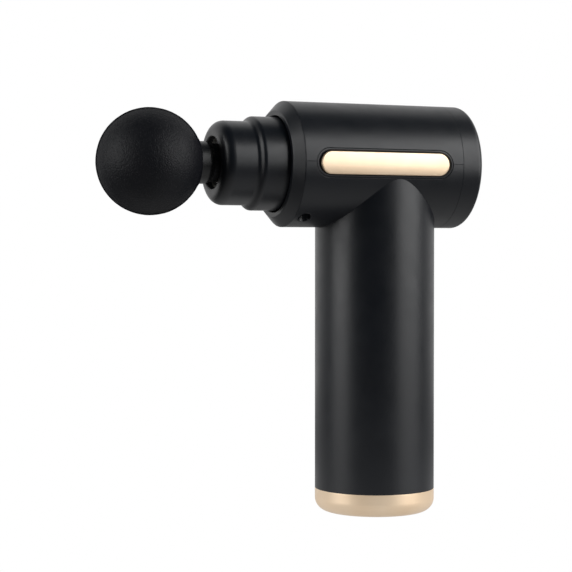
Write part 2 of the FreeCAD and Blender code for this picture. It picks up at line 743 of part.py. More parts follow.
def make_trim(label, side):
    """Bezel with a sloping inner edge, and the bright strip that it frames."""
    deep = size.wall * 2
    bezel_prism = stadium_prism(f"{label}_bezel_prism", POCKET_FRONT + FIT_GAP, POCKET_REAR - FIT_GAP,
                                POCKET_RADIUS - FIT_GAP, size.pocket_floor, deep, side)
    bezel_skin = rod(f"{label}_bezel_skin", size.barrel_radius - FIT_GAP, FAR * 2,
                     -FAR, 0, BARREL_AXIS, "X")
    bezel_blank = overlap(f"{label}_bezel_blank", bezel_prism, bezel_skin)
    strip_back = size.pocket_floor + BEZEL_FLOOR
    groove_size = (size.trim_front - FIT_GAP, size.trim_rear + FIT_GAP, size.trim_height / 2 + SNUG_GAP)
    groove = stadium_prism(f"{label}_groove", *groove_size, strip_back, deep, side)
    slope = stadium_prism(f"{label}_slope", *groove_size, strip_back + SNUG_GAP, deep, side, BEZEL_SLOPE)
    holes = []
    pins = []
    hole_middle = size.pocket_floor * side - BEZEL_FLOOR * 2
    pin_middle = (strip_back - TRIM_PIN_LENGTH / 2) * side - TRIM_PIN_LENGTH / 2
    for spot in TRIM_PINS:
        holes.append(rod(f"{label}_hole", TRIM_PIN_RADIUS + SNUG_GAP, BEZEL_FLOOR * 4,
                         spot, hole_middle, TRIM_LEVEL, "Y"))
        pins.append(rod(f"{label}_pin", TRIM_PIN_RADIUS, TRIM_PIN_LENGTH,
                        spot, pin_middle, TRIM_LEVEL, "Y"))
    bezel = cut(f"{label}_trim_bezel", bezel_blank, groove, slope, *holes)
    keep(f"{label}_trim_bezel", bezel)

    strip_prism = stadium_prism(f"{label}_strip_prism", size.trim_front, size.trim_rear,
                                size.trim_height / 2, strip_back, deep, side)
    strip_skin = rod(f"{label}_strip_skin", size.barrel_radius + size.trim_proud, FAR * 2,
                     -FAR, 0, BARREL_AXIS, "X")
    strip_blank = overlap(f"{label}_strip_blank", strip_prism, strip_skin)

    def on_face_edge(edge):
        """The strip's outer edge, on the curved face; side edges run much deeper than it."""
        middle = edge.valueAt((edge.FirstParameter + edge.LastParameter) / 2)
        shallow = edge.BoundBox.YLength < size.trim_proud.value * 2
        return shallow and abs(middle.y) > (strip_back + TRIM_ROUNDING).value

    strip_round = round_edges(f"{label}_strip_round", strip_blank, TRIM_ROUNDING, on_face_edge)
    keep(f"{label}_trim_strip", join(f"{label}_trim_strip", strip_round, *pins))


# ---------------------------------------------------------------- rear cap and control

CAP_BOSS_CIRCLE = 14.6
CAP_BOSS_ANGLES = (-90, 20, 160)
LIGHT_CIRCLE = 11.0
LIGHT_ANGLES = (50, 70, 90, 110, 130)
BOARD_SCREW_LENGTH = as_size(4.6)
SWITCH_SIDE = as_size(6.0)
SWITCH_WELL_DEPTH = as_size(2.0)
PRESS_TRAVEL = as_size(0.8)
CAPACITOR_RADIUS = as_size(2.6)
CAPACITOR_HEIGHT = as_size(4.0)
CAPACITOR_PLACE = (-9.5, -0.5)
# Blocks on the board's front: name, height, limits across, limits from the barrel axis upwards.
BOARD_PARTS = (
    ("processor", 1.1, (-4.0, 4.0), (-4.0, 4.0)),
    ("left_driver", 1.3, (-8.6, -3.8), (6.4, 10.8)),
    ("middle_driver", 1.3, (-2.4, 2.4), (6.4, 10.8)),
    ("right_driver", 1.3, (3.8, 8.6), (6.4, 10.8)),
    ("battery_plug", 3.2, (5.4, 10.6), (-7.0, -1.6)),
)
LIGHT_RADIUS = as_size(0.8)
LENS_GAP = 0.03
SWITCH_REAR = BOARD_REAR + 3.0
BUTTON_GAP = as_size(0.15)
BUTTON_FLANGE = as_size(1.2)
BUTTON_FLANGE_DEPTH = as_size(0.8)
PLUNGER_RADIUS = as_size(1.7)
SPIGOT_LENGTH = as_size(2.5)
SPIGOT_INSIDE = as_size(18.6)


def make_rear_cap():
    spigot_front = size.rear_seam - SPIGOT_LENGTH
    spigot_outside = BARREL_BORE - FIT_GAP
    button_hole = size.button_radius + BUTTON_GAP
    corners = [(size.rear_seam, size.barrel_radius), (size.barrel_rear, size.barrel_radius)]
    corners += [(size.barrel_rear, button_hole), (CAP_INSIDE, button_hole)]
    corners += [(CAP_INSIDE, SPIGOT_INSIDE), (spigot_front, SPIGOT_INSIDE)]
    corners += [(spigot_front, spigot_outside), (size.rear_seam, spigot_outside)]
    cap = turned("rear_cap", corners, "X", z=BARREL_AXIS)
    rear_rim = [(size.barrel_rear, size.barrel_radius)]
    round_rims(cap, "rear_cap_round", size.rear_rounding, rear_rim)
    button_rim = [(size.barrel_rear, button_hole)]
    round_rims(cap, "rear_cap_button_round", size.wall / 5, button_rim)
    # Screw bosses grow from the inside of the rear face towards the control board.
    bosses = new_sketch(cap, "rear_cap_bosses", "YZ_Plane", BOARD_REAR)
    pilots = new_sketch(cap, "rear_cap_pilots", "YZ_Plane", BOARD_REAR)
    for angle in CAP_BOSS_ANGLES:
        y, z = polar(CAP_BOSS_CIRCLE, angle)
        draw_circle(bosses, y, z, SCREW_POST_RADIUS)
        draw_circle(pilots, y, z, SCREW_RADIUS)
    pad(cap, "rear_cap_boss_pads", bosses, CAP_INSIDE - BOARD_REAR + size.wall / 4)
    pocket(cap, "rear_cap_pilot_pockets", pilots, BOARD_SCREW_LENGTH - size.board_thickness, True)
    lights = new_sketch(cap, "rear_cap_light_holes", "YZ_Plane", CAP_INSIDE - size.wall / 4)
    for angle in LIGHT_ANGLES:
        y, z = polar(LIGHT_CIRCLE, angle)
        draw_circle(lights, y, z, LIGHT_RADIUS)
    pocket(cap, "rear_cap_light_pockets", lights, size.wall * 1.5, True)

    lenses = []
    for angle in LIGHT_ANGLES:
        y, z = polar(LIGHT_CIRCLE, angle)
        lens = rod("light_lens", LIGHT_RADIUS - LENS_GAP, size.wall, CAP_INSIDE, y, BARREL_AXIS + z, "X")
        lenses.append(lens)
    keep("level_lights", group("level_lights", lenses))


def make_button():
    button_face = size.barrel_rear + size.button_proud
    flange_rear = CAP_INSIDE - FIT_GAP
    flange_front = flange_rear - BUTTON_FLANGE_DEPTH
    flange_radius = size.button_radius + BUTTON_FLANGE
    corners = [(button_face, 0), (button_face, size.button_radius)]
    corners += [(flange_rear, size.button_radius), (flange_rear, flange_radius)]
    corners += [(flange_front, flange_radius), (flange_front, 0)]
    button = turned("power_button", corners, "X", z=BARREL_AXIS)
    button_rim = [(button_face, size.button_radius)]
    round_rims(button, "power_button_round", size.button_proud * 0.75, button_rim)
    # The plunger reaches into the switch's well and stops clear of its floor.
    plunger_front = SWITCH_REAR - SWITCH_WELL_DEPTH + PRESS_TRAVEL + FIT_GAP * 2
    keep("switch_plunger", rod("switch_plunger", PLUNGER_RADIUS, flange_front - plunger_front,
                               plunger_front, 0, BARREL_AXIS, "X"))


def make_control_board():
    board = rod("board_disc", size.board_radius, size.board_thickness,
                size.board_front, 0, BARREL_AXIS, "X")
    holes = []
    screws = []
    for angle in CAP_BOSS_ANGLES:
        y, z = polar(CAP_BOSS_CIRCLE, angle)
        spot = (size.board_front, y, BARREL_AXIS + z, "X")
        holes.append(rod("board_hole", SCREW_HOLE_RADIUS, size.board_thickness, *spot))
        screws.append(small_screw("board_screw", BOARD_SCREW_LENGTH, *spot, shank_ahead=True))
    keep("control_board", cut("control_board", board, *holes))
    keep("board_screws", group("board_screws", screws))

    half = SWITCH_SIDE / 2
    upright = (BARREL_AXIS - half, BARREL_AXIS + half)
    body = block("switch_body", (BOARD_REAR, SWITCH_REAR), (-half, half), upright)
    well = rod("switch_well", PLUNGER_RADIUS + FIT_GAP, SWITCH_WELL_DEPTH,
               SWITCH_REAR - SWITCH_WELL_DEPTH, 0, BARREL_AXIS, "X")
    keep("tact_switch", cut("tact_switch", body, well))

    parts = []
    for name, height, across, upright in BOARD_PARTS:
        deep = (size.board_front - height, size.board_front)
        limits = [BARREL_AXIS + level for level in upright]
        parts.append(block(name, deep, across, limits))
    y, z = CAPACITOR_PLACE
    parts.append(rod("capacitor", CAPACITOR_RADIUS, CAPACITOR_HEIGHT,
                     size.board_front - CAPACITOR_HEIGHT, y, BARREL_AXIS + z, "X"))
    keep("board_parts", group("board_parts", parts))


# ---------------------------------------------------------------- drive frame and piston

UPRIGHT_FRONT = as_size(-18.5)
MOTOR_SCREW_CIRCLE = 7.3
MOTOR_SCREW_ANGLES = (0, 90, 180, 270)
MOTOR_SCREW_LENGTH = as_size(6.2)
FRAME_SCREW_LENGTH = as_size(6.2)
UPRIGHT_HALF_WIDTH = as_size(5.5)
FRAME_RING_RADIUS = as_size(15.0)
FRAME_CENTRE_RADIUS = as_size(5.6)
FRAME_NOTCH_INSIDE = 15.4
LEAD_SLOT_HALF_WIDTH = 3.4
LEAD_SLOT_FRONT = -15.6
LEAD_SLOT_REAR = -10.8


def make_drive_frame():
    """Plate over the motor with an upright ring that holds the cylinder liner."""
    plate = rod("frame_plate", size.frame_radius, size.frame_thickness, z=size.frame_bottom)
    upright_span = (FRAME_TOP - 1, BARREL_AXIS - size.liner_radius)
    upright = block("frame_upright", (UPRIGHT_FRONT, LINER_REAR),
                    (-UPRIGHT_HALF_WIDTH, UPRIGHT_HALF_WIDTH), upright_span)
    ring_length = LINER_REAR - UPRIGHT_FRONT
    ring = rod("frame_ring", FRAME_RING_RADIUS, ring_length, UPRIGHT_FRONT, 0, BARREL_AXIS, "X")
    body = join("frame_body", plate, upright, ring)
    tools = [rod("frame_liner_hole", size.liner_radius, ring_length, UPRIGHT_FRONT, 0, BARREL_AXIS, "X")]
    tools.append(rod("frame_centre_hole", FRAME_CENTRE_RADIUS, size.frame_thickness, z=size.frame_bottom))
    through = (size.frame_bottom, FRAME_TOP)
    notch_out = (FRAME_NOTCH_INSIDE, size.frame_radius + 1)
    tools.append(block("frame_lead_notch", (-LEAD_NOTCH_HALF, LEAD_NOTCH_HALF), notch_out, through))
    slot_across = (-LEAD_SLOT_HALF_WIDTH, LEAD_SLOT_HALF_WIDTH)
    tools.append(block("frame_lead_slot", slot_across, (LEAD_SLOT_FRONT, LEAD_SLOT_REAR), through))
    frame_screws = []
    for angle in FRAME_SCREW_ANGLES:
        x, y = polar(FRAME_SCREW_CIRCLE, angle)
        seat = FRAME_TOP - SCREW_HEAD_HEIGHT
        hole = (size.frame_thickness, x, y, size.frame_bottom)
        tools.append(rod("frame_screw_hole", SCREW_HOLE_RADIUS, *hole))
        tools.append(rod("frame_screw_seat", SCREW_HEAD_RADIUS + FIT_GAP, SCREW_HEAD_HEIGHT, x, y, seat))
        frame_screws.append(small_screw("frame_screw", FRAME_SCREW_LENGTH, x, y, seat))
    motor_screws = []
    for angle in MOTOR_SCREW_ANGLES:
        x, y = polar(MOTOR_SCREW_CIRCLE, angle)
        hole = (size.frame_thickness, x, y, size.frame_bottom)
        tools.append(rod("motor_screw_hole", SCREW_HOLE_RADIUS, *hole))
        motor_screws.append(small_screw("motor_screw", MOTOR_SCREW_LENGTH, x, y, FRAME_TOP))
    keep("drive_frame", cut("drive_frame", body, *tools))
    keep("frame_screws", group("frame_screws", frame_screws))
    keep("motor_screws", group("motor_screws", motor_screws))


YOKE_FRONT = PIN_PLACE - size.yoke_half_length
YOKE_REAR = PIN_PLACE + size.yoke_half_length
YOKE_BOTTOM = BARREL_AXIS - size.yoke_half_height
YOKE_TOP = BARREL_AXIS + size.yoke_half_height + 0.5
COVER_RADIUS = as_size(8.5)
COVER_DEPTH = as_size(1.4)
COVER_FLOOR = YOKE_TOP - COVER_DEPTH
SLIDER_BOTTOM = YOKE_BOTTOM + 1.5
SLIDER_TOP = COVER_FLOOR - 0.6
SLOT_END_GAP = as_size(0.4)
SOCKET_END_GAP = as_size(3.5)


def make_piston():
    """Piston with its head socket at the front and its yoke at the rear."""
    # The shaft runs a little way into the yoke block, so that the two are one piece.
    shaft = rod("piston_shaft", size.piston_radius, YOKE_FRONT - size.piston_front + size.wall / 2,
                size.piston_front, 0, BARREL_AXIS, "X")
    half_width = size.yoke_half_width
    yoke = block("piston_yoke_block", (YOKE_FRONT, YOKE_REAR), (-half_width, half_width),
                 (YOKE_BOTTOM, YOKE_TOP))
    socket = rod("piston_socket", PISTON_BORE, size.plug_length + SOCKET_END_GAP,
                 size.piston_front, 0, BARREL_AXIS, "X")
    slot_half = size.slider_side / 2 + size.running_gap
    slot_reach = size.slider_side / 2 + size.crank_throw + SLOT_END_GAP
    slot = block("piston_slot", (PIN_PLACE - slot_half, PIN_PLACE + slot_half),
                 (-slot_reach, slot_reach), (YOKE_BOTTOM, COVER_FLOOR))
    recess = rod("piston_cover_recess", COVER_RADIUS + FIT_GAP, COVER_DEPTH, PIN_PLACE, 0, COVER_FLOOR)
    keep("piston", cut("piston", join("piston_body", shaft, yoke), socket, slot, recess))
    keep("yoke_cover", rod("yoke_cover", COVER_RADIUS, COVER_DEPTH - FIT_GAP, PIN_PLACE, 0,
                           COVER_FLOOR + SNUG_GAP))

    half_side = size.slider_side / 2
    slider = block("slider_blank", (PIN_PLACE - half_side, PIN_PLACE + half_side),
                   (-half_side, half_side), (SLIDER_BOTTOM, SLIDER_TOP))
    bore = rod("slider_bore", size.crank_pin_radius + size.running_gap, SLIDER_TOP - SLIDER_BOTTOM,
               PIN_PLACE, 0, SLIDER_BOTTOM)
    keep("slider_block", cut("slider_block", slider, bore))


# ---------------------------------------------------------------- crank and motor

CRANK_BOTTOM = FRAME_TOP + 2.2
CRANK_TOP = BARREL_AXIS - size.piston_radius - 0.3
CRANK_HUB_RADIUS = as_size(7.5)
SHAFT_TOP = CRANK_BOTTOM + 4.4
PIN_BOTTOM = SHAFT_TOP + 0.2
PIN_TOP = SLIDER_TOP - 0.6
BELL_TOP = size.frame_bottom - 3.7
BELL_FLOOR = as_size(1.8)
BELL_ROUNDING = as_size(1.0)
MAGNET_SHARE = 0.84
STATOR_RING_RADIUS = as_size(7.4)
TOOTH_ROOT = STATOR_RING_RADIUS - 0.2
TOOTH_HALF_WIDTH = as_size(0.9)
TOOTH_TIP_HALF_WIDTH = as_size(2.6)
TOOTH_TIP_DEPTH = as_size(0.9)
TOOTH_SHOULDER = as_size(0.4)
COIL_INSIDE = as_size(8.6)
COIL_LENGTH = as_size(2.9)
COIL_HALF_WIDTH = as_size(1.7)
COIL_OVERHANG = as_size(1.3)
BEARING_TUBE_WALL = as_size(0.9)
MOTOR_FLANGE_RADIUS = as_size(9.2)
MOTOR_FLANGE_HEIGHT = as_size(2.5)
SHAFT_GAP = as_size(0.03)
WEIGHT_REACH = 13.4
# Corners of half of the counterweight, which is the same on both sides of the crank.
WEIGHT_CORNERS = ((12.0, 6.2), (6.0, 12.2), (1.0, 12.0))


def make_crank():
    """Crank disc with its counterweight opposite the pin."""
    crank = new_body("crank_disc", z=CRANK_BOTTOM)
    hub = new_sketch(crank, "crank_hub_outline")
    draw_circle(hub, 0, 0, CRANK_HUB_RADIUS)
    pad(crank, "crank_hub", hub, CRANK_TOP - CRANK_BOTTOM)
    weight = new_sketch(crank, "crank_weight_outline")
    near_side = [(x, -y) for x, y in reversed(WEIGHT_CORNERS)]
    draw_outline(weight, near_side + [(WEIGHT_REACH, 0)] + list(WEIGHT_CORNERS))
    pad(crank, "crank_weight", weight, SHAFT_TOP - CRANK_BOTTOM)
    shaft_hole = new_sketch(crank, "crank_shaft_hole")
    draw_circle(shaft_hole, 0, 0, size.shaft_radius)
    pocket(crank, "crank_shaft_pocket", shaft_hole, SHAFT_TOP - CRANK_BOTTOM, True)
    pin_hole = new_sketch(crank, "crank_pin_hole", offset=PIN_BOTTOM - CRANK_BOTTOM)
    draw_circle(pin_hole, PIN_PLACE, 0, size.crank_pin_radius)
    pocket(crank, "crank_pin_pocket", pin_hole, CRANK_TOP - PIN_BOTTOM, True)
    pin_length = PIN_TOP - PIN_BOTTOM
    keep("crank_pin", rod("crank_pin", size.crank_pin_radius, pin_length, PIN_PLACE, 0, PIN_BOTTOM))
    shaft_length = SHAFT_TOP - size.bell_bottom
    keep("motor_shaft", rod("motor_shaft", size.shaft_radius, shaft_length, z=size.bell_bottom))


def draw_upright_box(sketch, half_width, low, high):
    draw_outline(sketch, [(-half_width, low), (half_width, low), (half_width, high), (-half_width, high)])


def make_rotor():
    """Outer rotor: steel bell on the shaft with magnets on its inner wall."""
    wall_inside = size.bell_radius - size.bell_wall
    floor_top = size.bell_bottom + BELL_FLOOR
    corners = [(size.shaft_radius, size.bell_bottom), (size.bell_radius, size.bell_bottom)]
    corners += [(size.bell_radius, BELL_TOP), (wall_inside, BELL_TOP)]
    corners += [(wall_inside, floor_top), (size.shaft_radius, floor_top)]
    bell = turned("rotor_bell", corners, "Z")
    outer_rim = [(size.bell_bottom, size.bell_radius)]
    round_rims(bell, "rotor_bell_round", BELL_ROUNDING, outer_rim, "Z")

    magnets = new_body("rotor_magnets", z=size.stator_bottom)
    sketch = new_sketch(magnets, "magnet_outline")
    half_angle = MAGNET_SHARE * FULL_TURN / MAGNET_COUNT / 2
    # Each magnet is a flat bar that touches the bell wall along its two long edges.
    chord_in = wall_inside * math.cos(math.radians(half_angle))
    chord_side = wall_inside * math.sin(math.radians(half_angle))
    inner = chord_in - size.magnet_thickness
    draw_outline(sketch, [(inner, -chord_side), (chord_in, -chord_side),
                          (chord_in, chord_side), (inner, chord_side)])
    bar = pad(magnets, "magnet_bar", sketch, size.stator_height)
    polar_pattern(magnets, "magnet_circle", [bar], sketch, MAGNET_COUNT)


def make_stator():
    """Toothed core, its windings, and the mount whose tube carries both bearings."""
    tube_radius = size.bearing_radius + BEARING_TUBE_WALL
    core = new_body("stator_core", z=size.stator_bottom)
    ring = new_sketch(core, "stator_ring_outline")
    draw_circle(ring, 0, 0, STATOR_RING_RADIUS)
    draw_circle(ring, 0, 0, tube_radius)
    pad(core, "stator_ring", ring, size.stator_height)
    tooth = new_sketch(core, "stator_tooth_outline")
    tip = size.stator_radius - 0.3
    tip_start = tip - TOOTH_TIP_DEPTH
    narrow_end = tip_start - TOOTH_SHOULDER
    corners = [(TOOTH_ROOT, -TOOTH_HALF_WIDTH), (narrow_end, -TOOTH_HALF_WIDTH)]
    corners += [(tip_start, -TOOTH_TIP_HALF_WIDTH), (tip, -TOOTH_TIP_HALF_WIDTH)]
    corners += [(tip, TOOTH_TIP_HALF_WIDTH), (tip_start, TOOTH_TIP_HALF_WIDTH)]
    corners += [(narrow_end, TOOTH_HALF_WIDTH), (TOOTH_ROOT, TOOTH_HALF_WIDTH)]
    draw_outline(tooth, corners)
    arm = pad(core, "stator_tooth", tooth, size.stator_height)
    polar_pattern(core, "stator_teeth", [arm], tooth, TOOTH_COUNT)

    windings = new_body("stator_windings", z=size.stator_bottom)
    outline = new_sketch(windings, "winding_outline", "YZ_Plane", COIL_INSIDE)
    draw_upright_box(outline, COIL_HALF_WIDTH, -COIL_OVERHANG, size.stator_height + COIL_OVERHANG)
    draw_upright_box(outline, TOOTH_HALF_WIDTH + SNUG_GAP, -SNUG_GAP, size.stator_height + SNUG_GAP)
    coil = pad(windings, "winding_coil", outline, COIL_LENGTH)
    spin = new_sketch(windings, "winding_axis")
    polar_pattern(windings, "winding_circle", [coil], spin, TOOTH_COUNT)

    flange_bottom = size.frame_bottom - MOTOR_FLANGE_HEIGHT
    tube_bottom = size.bell_bottom + BELL_FLOOR + 0.7
    lower_seat = tube_bottom + size.bearing_height
    upper_seat = size.frame_bottom - 0.5 - size.bearing_height
    narrow = size.bearing_radius - 0.6
    corners = [(size.bearing_radius, tube_bottom), (tube_radius, tube_bottom)]
    corners += [(tube_radius, flange_bottom), (MOTOR_FLANGE_RADIUS, flange_bottom)]
    corners += [(MOTOR_FLANGE_RADIUS, size.frame_bottom)]
    corners += [(size.bearing_radius, size.frame_bottom), (size.bearing_radius, upper_seat)]
    corners += [(narrow, upper_seat), (narrow, lower_seat), (size.bearing_radius, lower_seat)]
    mount = turned("motor_mount", corners, "Z")
    pilots = new_sketch(mount, "motor_mount_pilots", offset=flange_bottom)
    for angle in MOTOR_SCREW_ANGLES:
        x, y = polar(MOTOR_SCREW_CIRCLE, angle)
        draw_circle(pilots, x, y, SCREW_RADIUS)
    pocket(mount, "motor_mount_pilot_pockets", pilots, MOTOR_FLANGE_HEIGHT, True)

    bore = size.shaft_radius + SHAFT_GAP
    bearings = [
        tube("bearing", size.bearing_radius, bore, size.bearing_height, z=bottom)
        for bottom in (tube_bottom, upper_seat)
    ]
    keep("motor_bearings", group("motor_bearings", bearings))


# ---------------------------------------------------------------- battery and charging

CRIMP_DEPTH = as_size(0.35)
CRIMP_HEIGHT = as_size(0.9)
CRIMP_PLACE = CELL_TOP - 4.2
HOLDER_HEIGHT = as_size(6.4)
HOLDER_NOTCH_INSIDE = 14.8
LINK_HALF_WIDTH = 3.5
LINK_SPACE_HALF = 4.0
BATTERY_BOARD_HALF = 12.0
BATTERY_BOARD_INSIDE = 10.2
BATTERY_BOARD_OUTSIDE = 11.4
PAD_RADIUS = as_size(15.5)
PAD_THICKNESS = as_size(1.2)
LOWER_HOLDER_BOTTOM = size.cell_bottom - 1.9
LOWER_HOLDER_TOP = LOWER_HOLDER_BOTTOM + HOLDER_HEIGHT
UPPER_HOLDER_TOP = CELL_TOP + 1.5
UPPER_HOLDER_BOTTOM = UPPER_HOLDER_TOP - HOLDER_HEIGHT
LINK_THICKNESS = as_size(0.2)
SPIGOT_TOP = size.base_height + 5.0
FLOOR_TOP = as_size(2.2)
SOCKET_BOTTOM = as_size(0.6)
SOCKET_TOP = as_size(6.9)
SOCKET_HALF_WIDTH = as_size(4.47)
SOCKET_HALF_DEPTH = as_size(1.63)
SOCKET_CORNER_GAP = 0.2
SOCKET_SHEET = as_size(0.3)
SOCKET_BACK = as_size(1.4)
TONGUE_START = as_size(0.9)
TONGUE_HALF_WIDTH = as_size(3.35)
TONGUE_HALF_DEPTH = as_size(0.35)
BASE_SPIGOT_INSIDE = as_size(17.8)
CHARGE_BOARD_THICKNESS = as_size(1.2)
CHARGE_BOARD_TOP = SOCKET_TOP + CHARGE_BOARD_THICKNESS
CHARGE_BOARD_HALF_LENGTH = 11.8
CHARGE_BOARD_HALF_WIDTH = as_size(5.8)
CHARGE_SCREW_PLACE = 9.4
CHARGE_SCREW_LENGTH = as_size(5.0)
PORT_PLACE = as_size(7.0)


def make_battery():
    """Two cells between plastic holders, with their links, board and top pad."""
    spread = size.cell_spread
    cells = []
    for side in (-1, 1):
        can = rod("cell_can", size.cell_radius, size.cell_length, spread * side, 0, size.cell_bottom)
        crimp = tube("cell_crimp", size.cell_radius + CRIMP_DEPTH, size.cell_radius - CRIMP_DEPTH,
                     CRIMP_HEIGHT, spread * side, 0, CRIMP_PLACE)
        cells.append(cut("battery_cell", can, crimp))
    keep("battery_cells", group("battery_cells", cells))

    for label, bottom, start, end in (
        ("lower_cell_holder", LOWER_HOLDER_BOTTOM, size.cell_bottom - LINK_THICKNESS, LOWER_HOLDER_TOP),
        ("upper_cell_holder", UPPER_HOLDER_BOTTOM, UPPER_HOLDER_BOTTOM, CELL_TOP + LINK_THICKNESS),
    ):
        disc = rod(f"{label}_disc", size.holder_radius, HOLDER_HEIGHT, z=bottom)
        tools = [
            rod(f"{label}_seat", size.cell_radius + FIT_GAP, end - start, spread * side, 0, start)
            for side in (-1, 1)
        ]
        notch_across = (-LEAD_NOTCH_HALF, LEAD_NOTCH_HALF)
        notch_out = (HOLDER_NOTCH_INSIDE, size.holder_radius + 1)
        notch = block(f"{label}_notch", notch_across, notch_out, (bottom, bottom + HOLDER_HEIGHT))
        link_square = (-LINK_SPACE_HALF, LINK_SPACE_HALF)
        link_space = block(f"{label}_link_space", link_square, link_square, (start, end))
        keep(label, cut(label, disc, *tools, notch, link_space))

    across = (-LINK_HALF_WIDTH, LINK_HALF_WIDTH)
    top_reach = spread + LINK_HALF_WIDTH
    links = [block("top_link", (-top_reach, top_reach), across, (CELL_TOP, CELL_TOP + LINK_THICKNESS))]
    for side in (-1, 1):
        middle = spread * side
        along = (middle - LINK_HALF_WIDTH, middle + LINK_HALF_WIDTH)
        thick = (size.cell_bottom - LINK_THICKNESS, size.cell_bottom)
        links.append(block("bottom_tab", along, across, thick))
    keep("cell_links", group("cell_links", links))
    board_across = (-BATTERY_BOARD_HALF, BATTERY_BOARD_HALF)
    board_out = (BATTERY_BOARD_INSIDE, BATTERY_BOARD_OUTSIDE)
    board_span = (LOWER_HOLDER_TOP, UPPER_HOLDER_BOTTOM)
    keep("battery_board", block("battery_board", board_across, board_out, board_span))
    keep("battery_pad", rod("battery_pad", PAD_RADIUS, PAD_THICKNESS, z=UPPER_HOLDER_TOP))


def make_base():
    """Bright end cap with the charging socket in its underside."""
    spigot_outside = HANDLE_BORE - FIT_GAP
    corners = [(0, 0), (size.handle_radius, 0), (size.handle_radius, size.base_height)]
    corners += [(spigot_outside, size.base_height), (spigot_outside, SPIGOT_TOP)]
    corners += [(BASE_SPIGOT_INSIDE, SPIGOT_TOP), (BASE_SPIGOT_INSIDE, FLOOR_TOP), (0, FLOOR_TOP)]
    base = turned("base_cap", corners, "Z")
    round_rims(base, "base_cap_round", size.base_rounding, [(0, size.handle_radius)], "Z")
    post_root = FLOOR_TOP / 2
    posts = new_sketch(base, "base_cap_posts", offset=post_root)
    pilots = new_sketch(base, "base_cap_pilots", offset=FLOOR_TOP)
    for side in (-1, 1):
        draw_circle(posts, CHARGE_SCREW_PLACE * side, PORT_PLACE, SCREW_POST_RADIUS)
        draw_circle(pilots, CHARGE_SCREW_PLACE * side, PORT_PLACE, SCREW_RADIUS)
    pad(base, "base_cap_post_pads", posts, SOCKET_TOP - post_root)
    pocket(base, "base_cap_pilot_pockets", pilots, SOCKET_TOP - FLOOR_TOP, True)
    mouth = new_sketch(base, "base_cap_port")
    bind(mouth, "AttachmentOffset.Base.y", PORT_PLACE)
    mouth_half = SOCKET_HALF_WIDTH + SOCKET_CORNER_GAP
    draw_stadium(mouth, -mouth_half, mouth_half, SOCKET_HALF_DEPTH + SOCKET_CORNER_GAP)
    pocket(base, "base_cap_port_pocket", mouth, FLOOR_TOP, True)

    socket = new_body("usb_c_socket", y=PORT_PLACE, z=SOCKET_BOTTOM)
    shell = new_sketch(socket, "socket_shell_outline")
    draw_stadium(shell, -SOCKET_HALF_WIDTH, SOCKET_HALF_WIDTH, SOCKET_HALF_DEPTH)
    height = SOCKET_TOP - SOCKET_BOTTOM
    pad(socket, "socket_shell", shell, height)
    mouth = new_sketch(socket, "socket_mouth_outline")
    mouth_half = SOCKET_HALF_WIDTH - SOCKET_SHEET
    draw_stadium(mouth, -mouth_half, mouth_half, SOCKET_HALF_DEPTH - SOCKET_SHEET)
    pocket(socket, "socket_mouth", mouth, height - SOCKET_BACK, True)
    tongue = new_sketch(socket, "socket_tongue_outline", offset=TONGUE_START)
    draw_upright_box(tongue, TONGUE_HALF_WIDTH, -TONGUE_HALF_DEPTH, TONGUE_HALF_DEPTH)
    pad(socket, "socket_tongue", tongue, height - TONGUE_START)

    along = (-CHARGE_BOARD_HALF_LENGTH, CHARGE_BOARD_HALF_LENGTH)
    across = (PORT_PLACE - CHARGE_BOARD_HALF_WIDTH, PORT_PLACE + CHARGE_BOARD_HALF_WIDTH)
    board = block("charge_board_blank", along, across, (SOCKET_TOP, CHARGE_BOARD_TOP))
    holes = []
    screws = []
    for side in (-1, 1):
        x = CHARGE_SCREW_PLACE * side
        hole = rod("charge_board_hole", SCREW_HOLE_RADIUS, CHARGE_BOARD_THICKNESS, x, PORT_PLACE, SOCKET_TOP)
        holes.append(hole)
        screws.append(small_screw("charge_screw", CHARGE_SCREW_LENGTH, x, PORT_PLACE, CHARGE_BOARD_TOP))
    keep("charge_board", cut("charge_board", board, *holes))
    keep("charge_board_screws", group("charge_board_screws", screws))


# ---------------------------------------------------------------- screws and leads


NOSE_HEAD_RADIUS = as_size(2.1)
NOSE_HEAD_HEIGHT = as_size(1.5)
DRIVE_REACH = as_size(1.3)
DRIVE_HALF_WIDTH = as_size(0.25)
DRIVE_DEPTH = as_size(0.8)


def make_nose_screws():
    """Two screws with cross recesses, seen through the wells under the barrel's front."""
    screws = []
    head_bottom = SCREW_SEAT - NOSE_HEAD_HEIGHT
    heads = nose_screw_rods("nose_screw_head", NOSE_HEAD_RADIUS, NOSE_HEAD_HEIGHT, head_bottom)
    shanks = nose_screw_rods("nose_screw_shank", NOSE_THREAD_RADIUS, NOSE_SCREW_LENGTH, SCREW_SEAT)
    deep = (head_bottom, head_bottom + DRIVE_DEPTH)
    for side, head, shank in zip((-1, 1), heads, shanks):
        x, y = size.nose_screw_place, size.nose_screw_spread * side
        bars = []
        for half_x, half_y in ((DRIVE_REACH, DRIVE_HALF_WIDTH), (DRIVE_HALF_WIDTH, DRIVE_REACH)):
            bars.append(block("drive_bar", (x - half_x, x + half_x), (y - half_y, y + half_y), deep))
        screws.append(cut("nose_screw", join("nose_screw_blank", head, shank), *bars))
    keep("nose_screws", group("nose_screws", screws))


# Sideways shifts of the wires in each bundle.
LEAD_PAIR = (-1.6, 1.6)
LEAD_TRIO = (-1.7, 0, 1.7)


